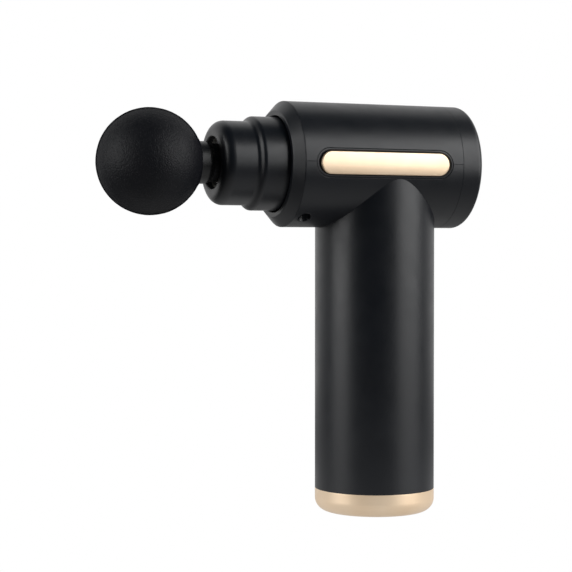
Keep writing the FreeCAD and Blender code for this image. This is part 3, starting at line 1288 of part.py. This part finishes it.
def battery_route(shift):
    """From the battery board up past the motor to the plug on the control board."""
    upper = UPPER_HOLDER_BOTTOM.value
    frame_top = FRAME_TOP.value
    axis = BARREL_AXIS.value
    half = shift / 2
    return [
        (shift, BATTERY_BOARD_OUTSIDE + 1.0, upper - 8),
        (shift, 17.6, upper + 4),
        (shift, 18.4, frame_top - 10),
        (shift + 1, 17.4, frame_top + 2),
        (9 + half, 14.6 + half, axis - 12),
        (size.board_front.value - 3.9, 8 + half, axis - 4.6),
    ]


def motor_route(shift):
    """From the windings through the frame's slot to the control board."""
    frame_bottom = size.frame_bottom.value
    frame_top = FRAME_TOP.value
    axis = BARREL_AXIS.value
    board = size.board_front.value
    half = shift / 2
    return [
        (shift, -12.3, frame_bottom - 1.8),
        (shift, -12.8, frame_bottom + 2),
        (shift, -14.6, frame_top + 0.9),
        (shift + 1.5, -17.4, frame_top + 3.6),
        (8 + half, -16 + half, frame_top + 6.4),
        (15.5, -10.6 + shift, axis - 10.4),
        (board - 2.6, -4.4 + shift, axis - 9.6),
        (board - 0.3, -4 + shift, axis - 9.4),
    ]


def charge_route(shift):
    """From the charging board through the lower holder's notch to the battery board."""
    start = CHARGE_BOARD_TOP.value
    lower = LOWER_HOLDER_TOP.value
    return [
        (shift, 6.4, start + 0.4),
        (shift, 8, start + 2.2),
        (shift, 13.6, start + 2.8),
        (shift, 16.8, lower - 5.6),
        (shift, 16.6, lower - 1),
        (shift, 14.6, lower + 3),
        (shift, BATTERY_BOARD_OUTSIDE + 1.0, lower + 7),
    ]


def lead(points):
    """Round wire along a smooth curve through the given points."""
    curve = Part.BSplineCurve()
    curve.interpolate([Vector(*point) for point in points])
    path = Part.Wire([curve.toShape()])
    start = curve.value(curve.FirstParameter)
    heading = curve.tangent(curve.FirstParameter)[0]
    ring = Part.Wire([Part.makeCircle(size.lead_radius.value, start, heading)])
    sweep = Part.BRepOffsetAPI.MakePipeShell(path)
    sweep.add(ring, False, False)
    sweep.setFrenetMode(False)
    sweep.build()
    sweep.makeSolid()
    return sweep.shape()


def make_leads():
    """Bent wires; each follows a curve in space, so it is swept directly."""
    routes = {
        "battery_leads": [battery_route(shift) for shift in LEAD_PAIR],
        "motor_leads": [motor_route(shift) for shift in LEAD_TRIO],
        "charge_leads": [charge_route(shift) for shift in LEAD_PAIR],
    }
    for label, points in routes.items():
        made = doc.addObject("Part::Feature", label)
        made.Shape = Part.Compound([lead(route) for route in points])
        made.Placement = Placement()
        keep(label, made)


# ---------------------------------------------------------------- build, check, write


def check_document():
    """Stops the build if any object failed or any sub-part is empty or unsound."""
    for item in doc.Objects:
        if "Invalid" in item.State or "Error" in item.State:
            raise RuntimeError(f"{item.Label} failed: {item.State}")
    for label, item in nodes.items():
        if item.Shape.isNull() or not item.Shape.isValid() or not item.Shape.Solids:
            raise RuntimeError(f"{label} has no sound shape")


def write_nodes():
    os.makedirs("parts", exist_ok=True)
    for label, item in nodes.items():
        item.Shape.exportStep(f"parts/{label}.step")


make_head()
make_nose()
make_front_ring()
make_handle_housing()
make_top_cover()
make_trim("left", -1)
make_trim("right", 1)
make_rear_cap()
make_button()
make_control_board()
make_drive_frame()
make_piston()
make_crank()
make_rotor()
make_stator()
make_battery()
make_base()
make_nose_screws()
make_leads()
doc.recompute()
check_document()
write_nodes()
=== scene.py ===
import json
import math

import bmesh
import bpy
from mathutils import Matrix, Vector, noise


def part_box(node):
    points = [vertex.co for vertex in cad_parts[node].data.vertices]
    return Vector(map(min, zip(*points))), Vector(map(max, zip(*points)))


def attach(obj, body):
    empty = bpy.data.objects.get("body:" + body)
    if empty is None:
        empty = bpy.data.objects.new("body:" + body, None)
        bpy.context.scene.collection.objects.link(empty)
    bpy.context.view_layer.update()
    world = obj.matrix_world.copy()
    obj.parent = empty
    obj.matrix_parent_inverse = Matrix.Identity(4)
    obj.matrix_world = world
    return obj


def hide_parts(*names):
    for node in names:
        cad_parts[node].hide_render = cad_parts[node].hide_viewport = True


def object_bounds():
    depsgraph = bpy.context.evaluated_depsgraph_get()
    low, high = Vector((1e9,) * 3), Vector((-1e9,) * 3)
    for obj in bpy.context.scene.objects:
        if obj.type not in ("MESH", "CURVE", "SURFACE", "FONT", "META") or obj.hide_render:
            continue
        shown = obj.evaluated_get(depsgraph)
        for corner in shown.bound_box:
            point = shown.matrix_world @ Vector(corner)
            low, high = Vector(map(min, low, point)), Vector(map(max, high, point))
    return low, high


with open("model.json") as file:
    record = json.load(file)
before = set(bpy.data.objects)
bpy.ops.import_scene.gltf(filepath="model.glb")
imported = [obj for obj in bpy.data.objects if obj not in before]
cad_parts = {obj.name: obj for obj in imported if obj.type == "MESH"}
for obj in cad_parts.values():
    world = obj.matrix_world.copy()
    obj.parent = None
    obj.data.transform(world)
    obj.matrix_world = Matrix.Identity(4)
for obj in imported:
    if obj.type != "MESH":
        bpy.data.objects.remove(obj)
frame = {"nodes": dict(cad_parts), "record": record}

# Looks for a pocket massage gun, in metres. The handle stands on the origin and the massage head
# points towards -X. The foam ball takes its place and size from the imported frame.

cad_low, cad_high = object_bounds()

# Camera, and the point that the lights face.
LENS_LENGTH = 102.3
SENSOR_WIDTH = 36.0
CAMERA_PLACE = Vector((-0.2540, -0.5398, 0.0946))
VIEW_DIRECTION = Vector((0.3759, 0.9264, -0.0209))
VIEW_TURN = math.atan2(VIEW_DIRECTION.x, VIEW_DIRECTION.y)
AIM = Vector((0.0, 0.0, 0.6 * cad_high[2]))

# Studio paper: its outline, and how brightly it glows towards the gun behind itself and close
# around itself. This glow is painted light: a painted pool of light round the gun and a painted
# dim stretch in front.
PAPER_HALF_WIDTH = 6.0
PAPER_FRONT = -2.6
PAPER_REAR = 2.2
PAPER_BEND = 0.8
PAPER_TOP = 4.6
PAPER_BEND_STEPS = 14
PAPER_DIM_PLACE = 0.10
PAPER_LIT_PLACE = 0.60
PAPER_DIM = 0.04
PAPER_LIT = 0.9
POOL_EDGE_START = 0.08
POOL_EDGE_END = 0.30
POOL_LIT = 0.62
AIR_COLOR = (0.55, 0.80, 1.0, 1.0)
AIR_STRENGTH = 0.05

# Foam ball: its mesh, the rolled lip and socket round the neck, and its pitted skin.
NECK_RADIUS = 0.0075
NECK_GAP = 0.00005
SOCKET_DEPTH = 0.0035
BALL_TURNS = 288
BALL_RINGS = 150
LIP_RADIUS = 0.0009
LIP_STEPS = 8
SKIN_DEPTH = 0.0004
SKIN_GAP = 0.00006
DIMPLE_DEPTH = 0.00010
DIMPLE_SCALE = 170.0
PORE_DEPTH = 0.00007
PORE_SCALE = 900.0
FINE_PORE_RATIO = 2.1
FINE_PORE_SHARE = 0.5
AXIS_TOLERANCE = 1e-9

# Materials: most noise values lie between NOISE_LOW and NOISE_HIGH. Depths are in metres.
NOISE_LOW = 0.3
NOISE_HIGH = 0.7
SOFT_EDGE_SAMPLES = 6
MASK_SAMPLES = 4
SHARP_MATCH = 0.80
FLAT_MATCH = 0.995

PLASTIC_EDGE = 0.0003
PLASTIC_IOR = 1.48
PLASTIC_SPECULAR = 0.44
EDGE_SPECULAR = 0.08
CLOUD_SCALE = 28.0
SMUDGE_SCALE = 130.0
SMUDGE_HIGH = 0.75
PALER_GAIN = 1.35
PALER_LIFT = 0.001
GRAIN_STRENGTH = 0.5

SATIN_EDGE = 0.00025
SATIN_GRAIN_SCALE = 5200.0
SATIN_GRAIN_DEPTH = 0.000012
SATIN_GRAIN_STRENGTH = 0.35
SATIN_CLOUD_SCALE = 45.0
SATIN_CLOUD_LOW = 0.25
SATIN_CLOUD_HIGH = 0.75
SATIN_DEEPER = (0.93, 0.88, 0.82)

SKIN_SHADE = 0.7
SKIN_MOTTLE_DEPTH = 0.00002
SKIN_MOTTLE_STRENGTH = 0.4

FOAM_DARK = (0.0040, 0.0046, 0.0062)
FOAM_LIGHT = (0.0085, 0.0085, 0.0105)
FOAM_DUST = (0.050, 0.046, 0.050)
FOAM_CLOUD_SCALE = 60.0
FOAM_CELL_SCALE = 1500.0
FOAM_CELL_EDGE = 0.55
FOAM_CELL_DEPTH = 0.00012
FOAM_SPECK_SCALE = 2100.0
FOAM_SPECK_DEPTH = 0.00010
DUST_START = 0.60
DUST_END = 0.78
DUST_SHARE = 0.8
FOAM_ROUGHNESS = 0.50
FOAM_GLEAM = 0.16
GLEAM_FADE_START = 0.35
GLEAM_FADE_END = 0.80

MILK_SCALE = 900.0
MILK_DARK = (0.55, 0.60, 0.62)
MILK_PALE = (0.80, 0.84, 0.85)
LENS_ROUGHNESS = 0.22
LENS_GLOW = 0.2
LENS_GLOW_DEPTH = 0.001
LENS_BUMP_DEPTH = 0.00001

# ---------------------------------------------------------------- node tree helpers


def new_material(name):
    """Material with an empty tree, its Principled shader and its output."""
    material = bpy.data.materials.new(name)
    material.use_nodes = True
    tree = material.node_tree
    tree.nodes.clear()
    output = tree.nodes.new("ShaderNodeOutputMaterial")
    shader = tree.nodes.new("ShaderNodeBsdfPrincipled")
    tree.links.new(shader.outputs["BSDF"], output.inputs["Surface"])
    return material, tree, shader


def add(tree, kind, **settings):
    """Node of one kind, with its plain settings and its unlinked inputs filled in."""
    node = tree.nodes.new(kind)
    for key, value in settings.items():
        if hasattr(node, key):
            setattr(node, key, value)
        else:
            node.inputs[key.replace("_", " ")].default_value = value
    return node


def object_place(tree):
    """Texture coordinates in metres, the same for every piece at rest."""
    return tree.nodes.new("ShaderNodeTexCoord").outputs["Object"]


def noise_value(tree, place, scale, detail, roughness):
    """Noise around 0.5; its scale is in waves per metre."""
    texture = add(tree, "ShaderNodeTexNoise", Scale=scale, Detail=detail, Roughness=roughness)
    tree.links.new(place, texture.inputs["Vector"])
    return texture.outputs["Fac"]


def spread(tree, value, low, high, out_low, out_high):
    """Maps a value's range from low..high to out_low..out_high, clamped."""
    ranged = tree.nodes.new("ShaderNodeMapRange")
    limits = {"From Min": low, "From Max": high, "To Min": out_low, "To Max": out_high}
    for label, amount in limits.items():
        ranged.inputs[label].default_value = amount
    tree.links.new(value, ranged.inputs["Value"])
    return ranged.outputs["Result"]


def stretch(tree, value):
    """Stretches noise so that it covers 0 to 1."""
    return spread(tree, value, NOISE_LOW, NOISE_HIGH, 0.0, 1.0)


def blend_colors(tree, factor, first, second):
    """Colour between two colours or sockets, at a factor's place."""
    mix = tree.nodes.new("ShaderNodeMix")
    mix.data_type = "RGBA"
    for socket, color in (("A", first), ("B", second)):
        target = next(s for s in mix.inputs if s.name == socket and s.type == "RGBA")
        if isinstance(color, tuple):
            target.default_value = (*color, 1.0)
        else:
            tree.links.new(color, target)
    target = next(s for s in mix.inputs if s.name == "Factor" and s.type == "VALUE")
    tree.links.new(factor, target)
    return next(s for s in mix.outputs if s.type == "RGBA")


def bump(tree, height, distance, strength, normal=None):
    """Normals bent by a height, over another normal where one is given."""
    node = add(tree, "ShaderNodeBump", Strength=strength, Distance=distance)
    tree.links.new(height, node.inputs["Height"])
    if normal is not None:
        tree.links.new(normal, node.inputs["Normal"])
    return node.outputs["Normal"]


def soft_edge_normal(tree, radius):
    """Normals rounded over sharp edges and creases, as a mould or polish leaves them."""
    bevel = add(tree, "ShaderNodeBevel", samples=SOFT_EDGE_SAMPLES, Radius=radius)
    return bevel.outputs["Normal"]


def edge_mask(tree, radius):
    """1 at sharp edges and creases, 0 on open faces."""
    bevel = add(tree, "ShaderNodeBevel", samples=MASK_SAMPLES, Radius=radius)
    geometry = tree.nodes.new("ShaderNodeNewGeometry")
    match = add(tree, "ShaderNodeVectorMath", operation="DOT_PRODUCT")
    tree.links.new(bevel.outputs["Normal"], match.inputs[0])
    tree.links.new(geometry.outputs["Normal"], match.inputs[1])
    return spread(tree, match.outputs["Value"], SHARP_MATCH, FLAT_MATCH, 1.0, 0.0)


# ---------------------------------------------------------------- materials


def moulded_plastic(name, color, rough_low, rough_high, grain_scale, grain_depth):
    """Moulded plastic: spark-eroded grain, slow gloss variation, dull edges at the joints."""
    material, tree, shader = new_material(name)
    place = object_place(tree)
    grain = noise_value(tree, place, grain_scale, detail=3.0, roughness=0.6)
    cloud = noise_value(tree, place, CLOUD_SCALE, detail=3.0, roughness=0.55)
    smudge = noise_value(tree, place, SMUDGE_SCALE, detail=4.0, roughness=0.6)
    paler = tuple(channel * PALER_GAIN + PALER_LIFT for channel in color)
    tint = blend_colors(tree, stretch(tree, cloud), color, paler)
    tree.links.new(tint, shader.inputs["Base Color"])
    rough = spread(tree, smudge, NOISE_LOW, SMUDGE_HIGH, rough_low, rough_high)
    tree.links.new(rough, shader.inputs["Roughness"])
    shader.inputs["IOR"].default_value = PLASTIC_IOR
    dull = spread(tree, edge_mask(tree, PLASTIC_EDGE), 0.0, 1.0, PLASTIC_SPECULAR, EDGE_SPECULAR)
    tree.links.new(dull, shader.inputs["Specular IOR Level"])
    soft = soft_edge_normal(tree, PLASTIC_EDGE)
    grained = bump(tree, grain, grain_depth, GRAIN_STRENGTH, soft)
    tree.links.new(grained, shader.inputs["Normal"])
    return material


def satin_metal(name, color, rough_low, rough_high, brush, metallic):
    """Metal or metal coating with a fine satin finish; brush stretches its grain."""
    material, tree, shader = new_material(name)
    mapping = tree.nodes.new("ShaderNodeMapping")
    mapping.inputs["Scale"].default_value = brush
    tree.links.new(object_place(tree), mapping.inputs["Vector"])
    brushed = mapping.outputs["Vector"]
    fine = noise_value(tree, brushed, SATIN_GRAIN_SCALE, detail=3.0, roughness=0.65)
    cloud = noise_value(tree, object_place(tree), SATIN_CLOUD_SCALE, detail=3.0, roughness=0.6)
    deeper = tuple(channel * factor for channel, factor in zip(color, SATIN_DEEPER))
    tint = blend_colors(tree, stretch(tree, cloud), color, deeper)
    tree.links.new(tint, shader.inputs["Base Color"])
    shader.inputs["Metallic"].default_value = metallic
    rough = spread(tree, cloud, SATIN_CLOUD_LOW, SATIN_CLOUD_HIGH, rough_low, rough_high)
    tree.links.new(rough, shader.inputs["Roughness"])
    soft = soft_edge_normal(tree, SATIN_EDGE)
    grained = bump(tree, fine, SATIN_GRAIN_DEPTH, SATIN_GRAIN_STRENGTH, soft)
    tree.links.new(grained, shader.inputs["Normal"])
    return material


def foam_material():
    """Closed-cell foam: nearly black, with fine pores, some pale dust and no gleam at its rim."""
    material, tree, shader = new_material("foam")
    place = object_place(tree)
    cells = add(tree, "ShaderNodeTexVoronoi", Scale=FOAM_CELL_SCALE, feature="F1")
    tree.links.new(place, cells.inputs["Vector"])
    pores = spread(tree, cells.outputs["Distance"], 0.0, FOAM_CELL_EDGE, 0.0, 1.0)
    speck = noise_value(tree, place, FOAM_SPECK_SCALE, detail=3.0, roughness=0.7)
    cloud = noise_value(tree, place, FOAM_CLOUD_SCALE, detail=4.0, roughness=0.6)
    base = blend_colors(tree, stretch(tree, cloud), FOAM_DARK, FOAM_LIGHT)
    dust = spread(tree, speck, DUST_START, DUST_END, 0.0, DUST_SHARE)
    dusty = blend_colors(tree, dust, base, FOAM_DUST)
    tree.links.new(dusty, shader.inputs["Base Color"])
    shader.inputs["Roughness"].default_value = FOAM_ROUGHNESS
    facing = tree.nodes.new("ShaderNodeLayerWeight")
    away = facing.outputs["Facing"]
    gleam = spread(tree, away, GLEAM_FADE_START, GLEAM_FADE_END, FOAM_GLEAM, 0.0)
    tree.links.new(gleam, shader.inputs["Specular IOR Level"])
    coarse = bump(tree, pores, FOAM_CELL_DEPTH, strength=0.7)
    pitted = bump(tree, speck, FOAM_SPECK_DEPTH, strength=0.6, normal=coarse)
    tree.links.new(pitted, shader.inputs["Normal"])
    return material


def mottled_skin(name, color, rough_low, rough_high, scale):
    """Rubber, sleeve or epoxy with a mottled skin."""
    material, tree, shader = new_material(name)
    place = object_place(tree)
    mottle = noise_value(tree, place, scale, detail=4.0, roughness=0.6)
    darker = tuple(channel * SKIN_SHADE for channel in color)
    tint = blend_colors(tree, stretch(tree, mottle), darker, color)
    tree.links.new(tint, shader.inputs["Base Color"])
    rough = spread(tree, mottle, NOISE_LOW, NOISE_HIGH, rough_low, rough_high)
    tree.links.new(rough, shader.inputs["Roughness"])
    mottled = bump(tree, mottle, SKIN_MOTTLE_DEPTH, SKIN_MOTTLE_STRENGTH)
    tree.links.new(mottled, shader.inputs["Normal"])
    return material


def lens_material():
    """Milky light guides over the charge lamps."""
    material, tree, shader = new_material("clear_lens")
    milk = noise_value(tree, object_place(tree), MILK_SCALE, detail=2.0, roughness=0.5)
    tint = blend_colors(tree, milk, MILK_DARK, MILK_PALE)
    tree.links.new(tint, shader.inputs["Base Color"])
    shader.inputs["Roughness"].default_value = LENS_ROUGHNESS
    shader.inputs["Subsurface Weight"].default_value = LENS_GLOW
    shader.inputs["Subsurface Radius"].default_value = (LENS_GLOW_DEPTH,) * 3
    uneven = bump(tree, milk, LENS_BUMP_DEPTH, strength=0.3)
    tree.links.new(uneven, shader.inputs["Normal"])
    return material


def banded_metal(name, dark, pale, rough, metallic, bands):
    """Metal in bands: stacked motor sheets, or turns of enamelled wire side by side."""
    material, tree, shader = new_material(name)
    place = object_place(tree)
    wave = add(tree, "ShaderNodeTexWave", bands_direction=bands["direction"])
    wave.inputs["Scale"].default_value = bands["scale"]
    wave.inputs["Distortion"].default_value = bands["distortion"]
    tree.links.new(place, wave.inputs["Vector"])
    tint = blend_colors(tree, wave.outputs["Fac"], dark, pale)
    tree.links.new(tint, shader.inputs["Base Color"])
    shader.inputs["Metallic"].default_value = metallic
    shader.inputs["Roughness"].default_value = rough
    ridged = bump(tree, wave.outputs["Fac"], bands["depth"], bands["strength"])
    tree.links.new(ridged, shader.inputs["Normal"])
    return material


# Slot: colour, lowest and highest roughness, scale and depth of the grain.
PLASTICS = {
    "shell": ((0.0026, 0.0034, 0.0054), 0.345, 0.425, 3300.0, 0.000018),
    "nose": ((0.0026, 0.0034, 0.0054), 0.325, 0.405, 3600.0, 0.000012),
    "stem_plastic": ((0.006, 0.0062, 0.0070), 0.345, 0.425, 3600.0, 0.000012),
    "button_plastic": ((0.020, 0.020, 0.022), 0.265, 0.345, 3600.0, 0.000010),
    "holder_plastic": ((0.030, 0.030, 0.033), 0.445, 0.525, 2600.0, 0.000020),
    "bush_plastic": ((0.62, 0.60, 0.52), 0.415, 0.495, 2600.0, 0.000015),
}

# Slot: colour, lowest and highest roughness, how far the grain is stretched along each axis (a
# small number is a long grain), and how metallic it is.
METALS = {
    "gold": ((0.90, 0.712, 0.515), 0.32, 0.39, (1, 1, 1), 0.58),
    "machined_aluminium": ((0.74, 0.75, 0.77), 0.27, 0.34, (0.08, 1, 1), 1.0),
    "ground_steel": ((0.56, 0.57, 0.58), 0.21, 0.28, (1, 1, 0.1), 1.0),
    "bronze": ((0.58, 0.40, 0.20), 0.35, 0.42, (1, 1, 1), 1.0),
    "magnet_coat": ((0.62, 0.62, 0.63), 0.19, 0.26, (1, 1, 1), 1.0),
    "screw_steel": ((0.16, 0.16, 0.17), 0.33, 0.40, (1, 1, 1), 1.0),
    "nickel": ((0.66, 0.64, 0.58), 0.25, 0.32, (0.1, 1, 1), 1.0),
}

# Slot: colour, lowest and highest roughness, scale of the mottling.
SKINS = {
    "cell_sleeve": ((0.03, 0.16, 0.34), 0.21, 0.34, 400.0),
    "seal_rubber": ((0.018, 0.018, 0.019), 0.50, 0.63, 1600.0),
    "pad_foam": ((0.06, 0.06, 0.062), 0.85, 0.98, 2200.0),
    "lead_insulation": ((0.36, 0.025, 0.02), 0.35, 0.48, 900.0),
    "circuit_board": ((0.012, 0.10, 0.045), 0.23, 0.36, 700.0),
    "chip_epoxy": ((0.022, 0.022, 0.023), 0.45, 0.58, 2400.0),
}

SHEET_BANDS = {
    "direction": "Z", "scale": 320.0, "distortion": 0.2, "depth": 0.00003, "strength": 0.6,
}
WIRE_BANDS = {
    "direction": "DIAGONAL", "scale": 420.0, "distortion": 0.6, "depth": 0.00008, "strength": 0.8,
}

# Slot: dark colour, pale colour, roughness, how metallic it is, and its bands.
BANDED = {
    "laminations": ((0.10, 0.10, 0.11), (0.42, 0.42, 0.44), 0.42, 1.0, SHEET_BANDS),
    "copper": ((0.30, 0.11, 0.04), (0.78, 0.38, 0.18), 0.34, 0.9, WIRE_BANDS),
}

MATERIALS = {}
MATERIALS.update({slot: moulded_plastic(slot, *row) for slot, row in PLASTICS.items()})
MATERIALS.update({slot: satin_metal(slot, *row) for slot, row in METALS.items()})
MATERIALS.update({slot: mottled_skin(slot, *row) for slot, row in SKINS.items()})
MATERIALS["clear_lens"] = lens_material()
MATERIALS.update({slot: banded_metal(slot, *row) for slot, row in BANDED.items()})
MATERIALS["foam"] = foam_material()


def paint_frame():
    """Gives every CAD node the material of the slot that the record names for it."""
    for entry in frame["record"]["subparts"]:
        mesh = frame["nodes"][entry["node"]].data
        mesh.materials.clear()
        mesh.materials.append(MATERIALS[entry["material_slot"]])


# ---------------------------------------------------------------- foam ball


def ball_profile(radius, mouth, depth):
    """Half outline of the ball as (x from its centre, r), from its front pole to its socket."""
    turn_in = math.asin((mouth + LIP_RADIUS) / (radius - LIP_RADIUS))
    points = []
    for step in range(BALL_RINGS + 1):
        angle = (math.pi - turn_in) * step / BALL_RINGS
        points.append((-radius * math.cos(angle), radius * math.sin(angle)))
    centre_x = (radius - LIP_RADIUS) * math.cos(turn_in)
    centre_r = mouth + LIP_RADIUS
    for step in range(1, LIP_STEPS + 1):
        angle = turn_in + (math.pi - turn_in) * step / LIP_STEPS
        along = centre_x + LIP_RADIUS * math.cos(angle)
        points.append((along, centre_r + LIP_RADIUS * math.sin(angle)))
    points.append((centre_x - depth, mouth))
    points.append((centre_x - depth, 0.0))
    return points


def make_foam_ball():
    """Ball of foam with a rounded socket for the neck and a finely pitted skin."""
    low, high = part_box("foam_ball")
    radius = (high.y - low.y) / 2 - SKIN_GAP
    centre = Vector((low.x + radius + SKIN_GAP, (low.y + high.y) / 2, (low.z + high.z) / 2))
    mesh = bmesh.new()
    loops = []
    for along, out in ball_profile(radius, NECK_RADIUS + NECK_GAP, SOCKET_DEPTH):
        if out < AXIS_TOLERANCE:
            loops.append([mesh.verts.new((along, 0, 0))])
            continue
        loop = []
        for index in range(BALL_TURNS):
            turn = math.tau * index / BALL_TURNS
            loop.append(mesh.verts.new((along, out * math.cos(turn), out * math.sin(turn))))
        loops.append(loop)
    for first, second in zip(loops, loops[1:]):
        for index in range(BALL_TURNS):
            following = (index + 1) % BALL_TURNS
            if len(first) == 1:
                mesh.faces.new((first[0], second[index], second[following]))
            elif len(second) == 1:
                mesh.faces.new((first[index], second[0], first[following]))
            else:
                mesh.faces.new((first[index], second[index], second[following], first[following]))
    bmesh.ops.recalc_face_normals(mesh, faces=mesh.faces)
    mesh.normal_update()
    for vertex in mesh.verts:
        if vertex.co.length < radius - SKIN_DEPTH:
            continue
        place = vertex.co * PORE_SCALE
        slow = noise.noise(vertex.co * DIMPLE_SCALE)
        pore = noise.noise(place) + FINE_PORE_SHARE * noise.noise(place * FINE_PORE_RATIO)
        pit = DIMPLE_DEPTH * (0.5 + 0.5 * slow) + PORE_DEPTH * max(0.0, pore)
        vertex.co -= vertex.normal * pit
    data = bpy.data.meshes.new("foam_ball_skin")
    mesh.to_mesh(data)
    mesh.free()
    for polygon in data.polygons:
        polygon.use_smooth = True
    data.materials.append(MATERIALS["foam"])
    ball = bpy.data.objects.new("foam_ball_skin", data)
    bpy.context.scene.collection.objects.link(ball)
    ball.location = centre
    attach(ball, "massage_head")
    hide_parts("foam_ball")


# ---------------------------------------------------------------- studio


def glowing_studio_paper():
    """White to the camera. To the gun it glows as painted light: bright behind, a painted pool of
    light underneath, and dim far in front.
    """
    material = bpy.data.materials.new("glowing_studio_paper")
    material.use_nodes = True
    tree = material.node_tree
    tree.nodes.clear()
    output = tree.nodes.new("ShaderNodeOutputMaterial")
    glow = tree.nodes.new("ShaderNodeEmission")
    tree.links.new(glow.outputs["Emission"], output.inputs["Surface"])
    place = object_place(tree)
    depth = add(tree, "ShaderNodeSeparateXYZ")
    tree.links.new(place, depth.inputs["Vector"])
    back = depth.outputs["Y"]
    # Painted light: the backdrop glows dim in front of the gun and bright behind it, for light
    # that reaches the gun.
    painted_backdrop_glow = spread(tree, back, PAPER_DIM_PLACE, PAPER_LIT_PLACE, PAPER_DIM, PAPER_LIT)
    away = add(tree, "ShaderNodeVectorMath", operation="LENGTH")
    tree.links.new(place, away.inputs[0])
    # Painted pool of light: the paper glows brighter close round the gun, as painted bounce light.
    painted_light_pool = spread(tree, away.outputs["Value"], POOL_EDGE_START, POOL_EDGE_END, POOL_LIT, PAPER_DIM)
    brighter = add(tree, "ShaderNodeMath", operation="MAXIMUM")
    tree.links.new(painted_backdrop_glow, brighter.inputs[0])
    tree.links.new(painted_light_pool, brighter.inputs[1])
    path = tree.nodes.new("ShaderNodeLightPath")
    seen = add(tree, "ShaderNodeMath", operation="MAXIMUM")
    tree.links.new(brighter.outputs[0], seen.inputs[0])
    tree.links.new(path.outputs["Is Camera Ray"], seen.inputs[1])
    tree.links.new(seen.outputs[0], glow.inputs["Strength"])
    return material


def make_stage():
    """Floor that curves up into a backdrop behind the gun."""
    mesh = bmesh.new()
    bend_start = PAPER_REAR - PAPER_BEND
    profile = [(PAPER_FRONT, 0.0), (bend_start, 0.0)]
    for step in range(1, PAPER_BEND_STEPS + 1):
        angle = math.pi / 2 * step / PAPER_BEND_STEPS
        rise = PAPER_BEND - PAPER_BEND * math.cos(angle)
        profile.append((bend_start + PAPER_BEND * math.sin(angle), rise))
    profile.append((PAPER_REAR, PAPER_TOP))
    rows = []
    for y, z in profile:
        rows.append([mesh.verts.new((x, y, z)) for x in (-PAPER_HALF_WIDTH, PAPER_HALF_WIDTH)])
    for first, second in zip(rows, rows[1:]):
        mesh.faces.new((first[0], first[1], second[1], second[0]))
    data = bpy.data.meshes.new("studio_floor")
    mesh.to_mesh(data)
    mesh.free()
    for polygon in data.polygons:
        polygon.use_smooth = True
    data.materials.append(glowing_studio_paper())
    floor = bpy.data.objects.new("studio_floor", data)
    bpy.context.scene.collection.objects.link(floor)
    floor.rotation_euler.z = -VIEW_TURN


def softbox(name, turn, rise, distance, width, height, power):
    """Area light that faces the gun; turn and rise are in degrees, turn from the camera's side."""
    heading = math.radians(turn) - VIEW_TURN
    lift = math.radians(rise)
    level = math.cos(lift)
    out = Vector((math.sin(heading) * level, -math.cos(heading) * level, math.sin(lift)))
    data = bpy.data.lights.new(name, "AREA")
    data.shape = "RECTANGLE"
    data.size = width
    data.size_y = height
    data.energy = power
    light = bpy.data.objects.new(name, data)
    light.location = AIM + out * distance
    light.rotation_euler = (-out).to_track_quat("-Z", "Y").to_euler()
    bpy.context.scene.collection.objects.link(light)


def make_lights():
    softbox("left_box", turn=-70, rise=8, distance=1.2, width=0.75, height=1.2, power=13.5)
    softbox("right_box", turn=67, rise=20, distance=1.2, width=1.05, height=1.15, power=17.0)
    world = bpy.data.worlds.new("studio_air")
    world.use_nodes = True
    background = world.node_tree.nodes["Background"]
    background.inputs["Color"].default_value = AIR_COLOR
    background.inputs["Strength"].default_value = AIR_STRENGTH
    bpy.context.scene.world = world


def make_camera():
    bpy.context.scene.view_settings.view_transform = "Standard"
    data = bpy.data.cameras.new("view")
    data.lens = LENS_LENGTH
    data.sensor_width = SENSOR_WIDTH
    camera = bpy.data.objects.new("view", data)
    camera.location = CAMERA_PLACE
    camera.rotation_euler = VIEW_DIRECTION.to_track_quat("-Z", "Y").to_euler()
    bpy.context.scene.collection.objects.link(camera)
    bpy.context.scene.camera = camera


paint_frame()
make_foam_ball()
make_stage()
make_lights()
make_camera()
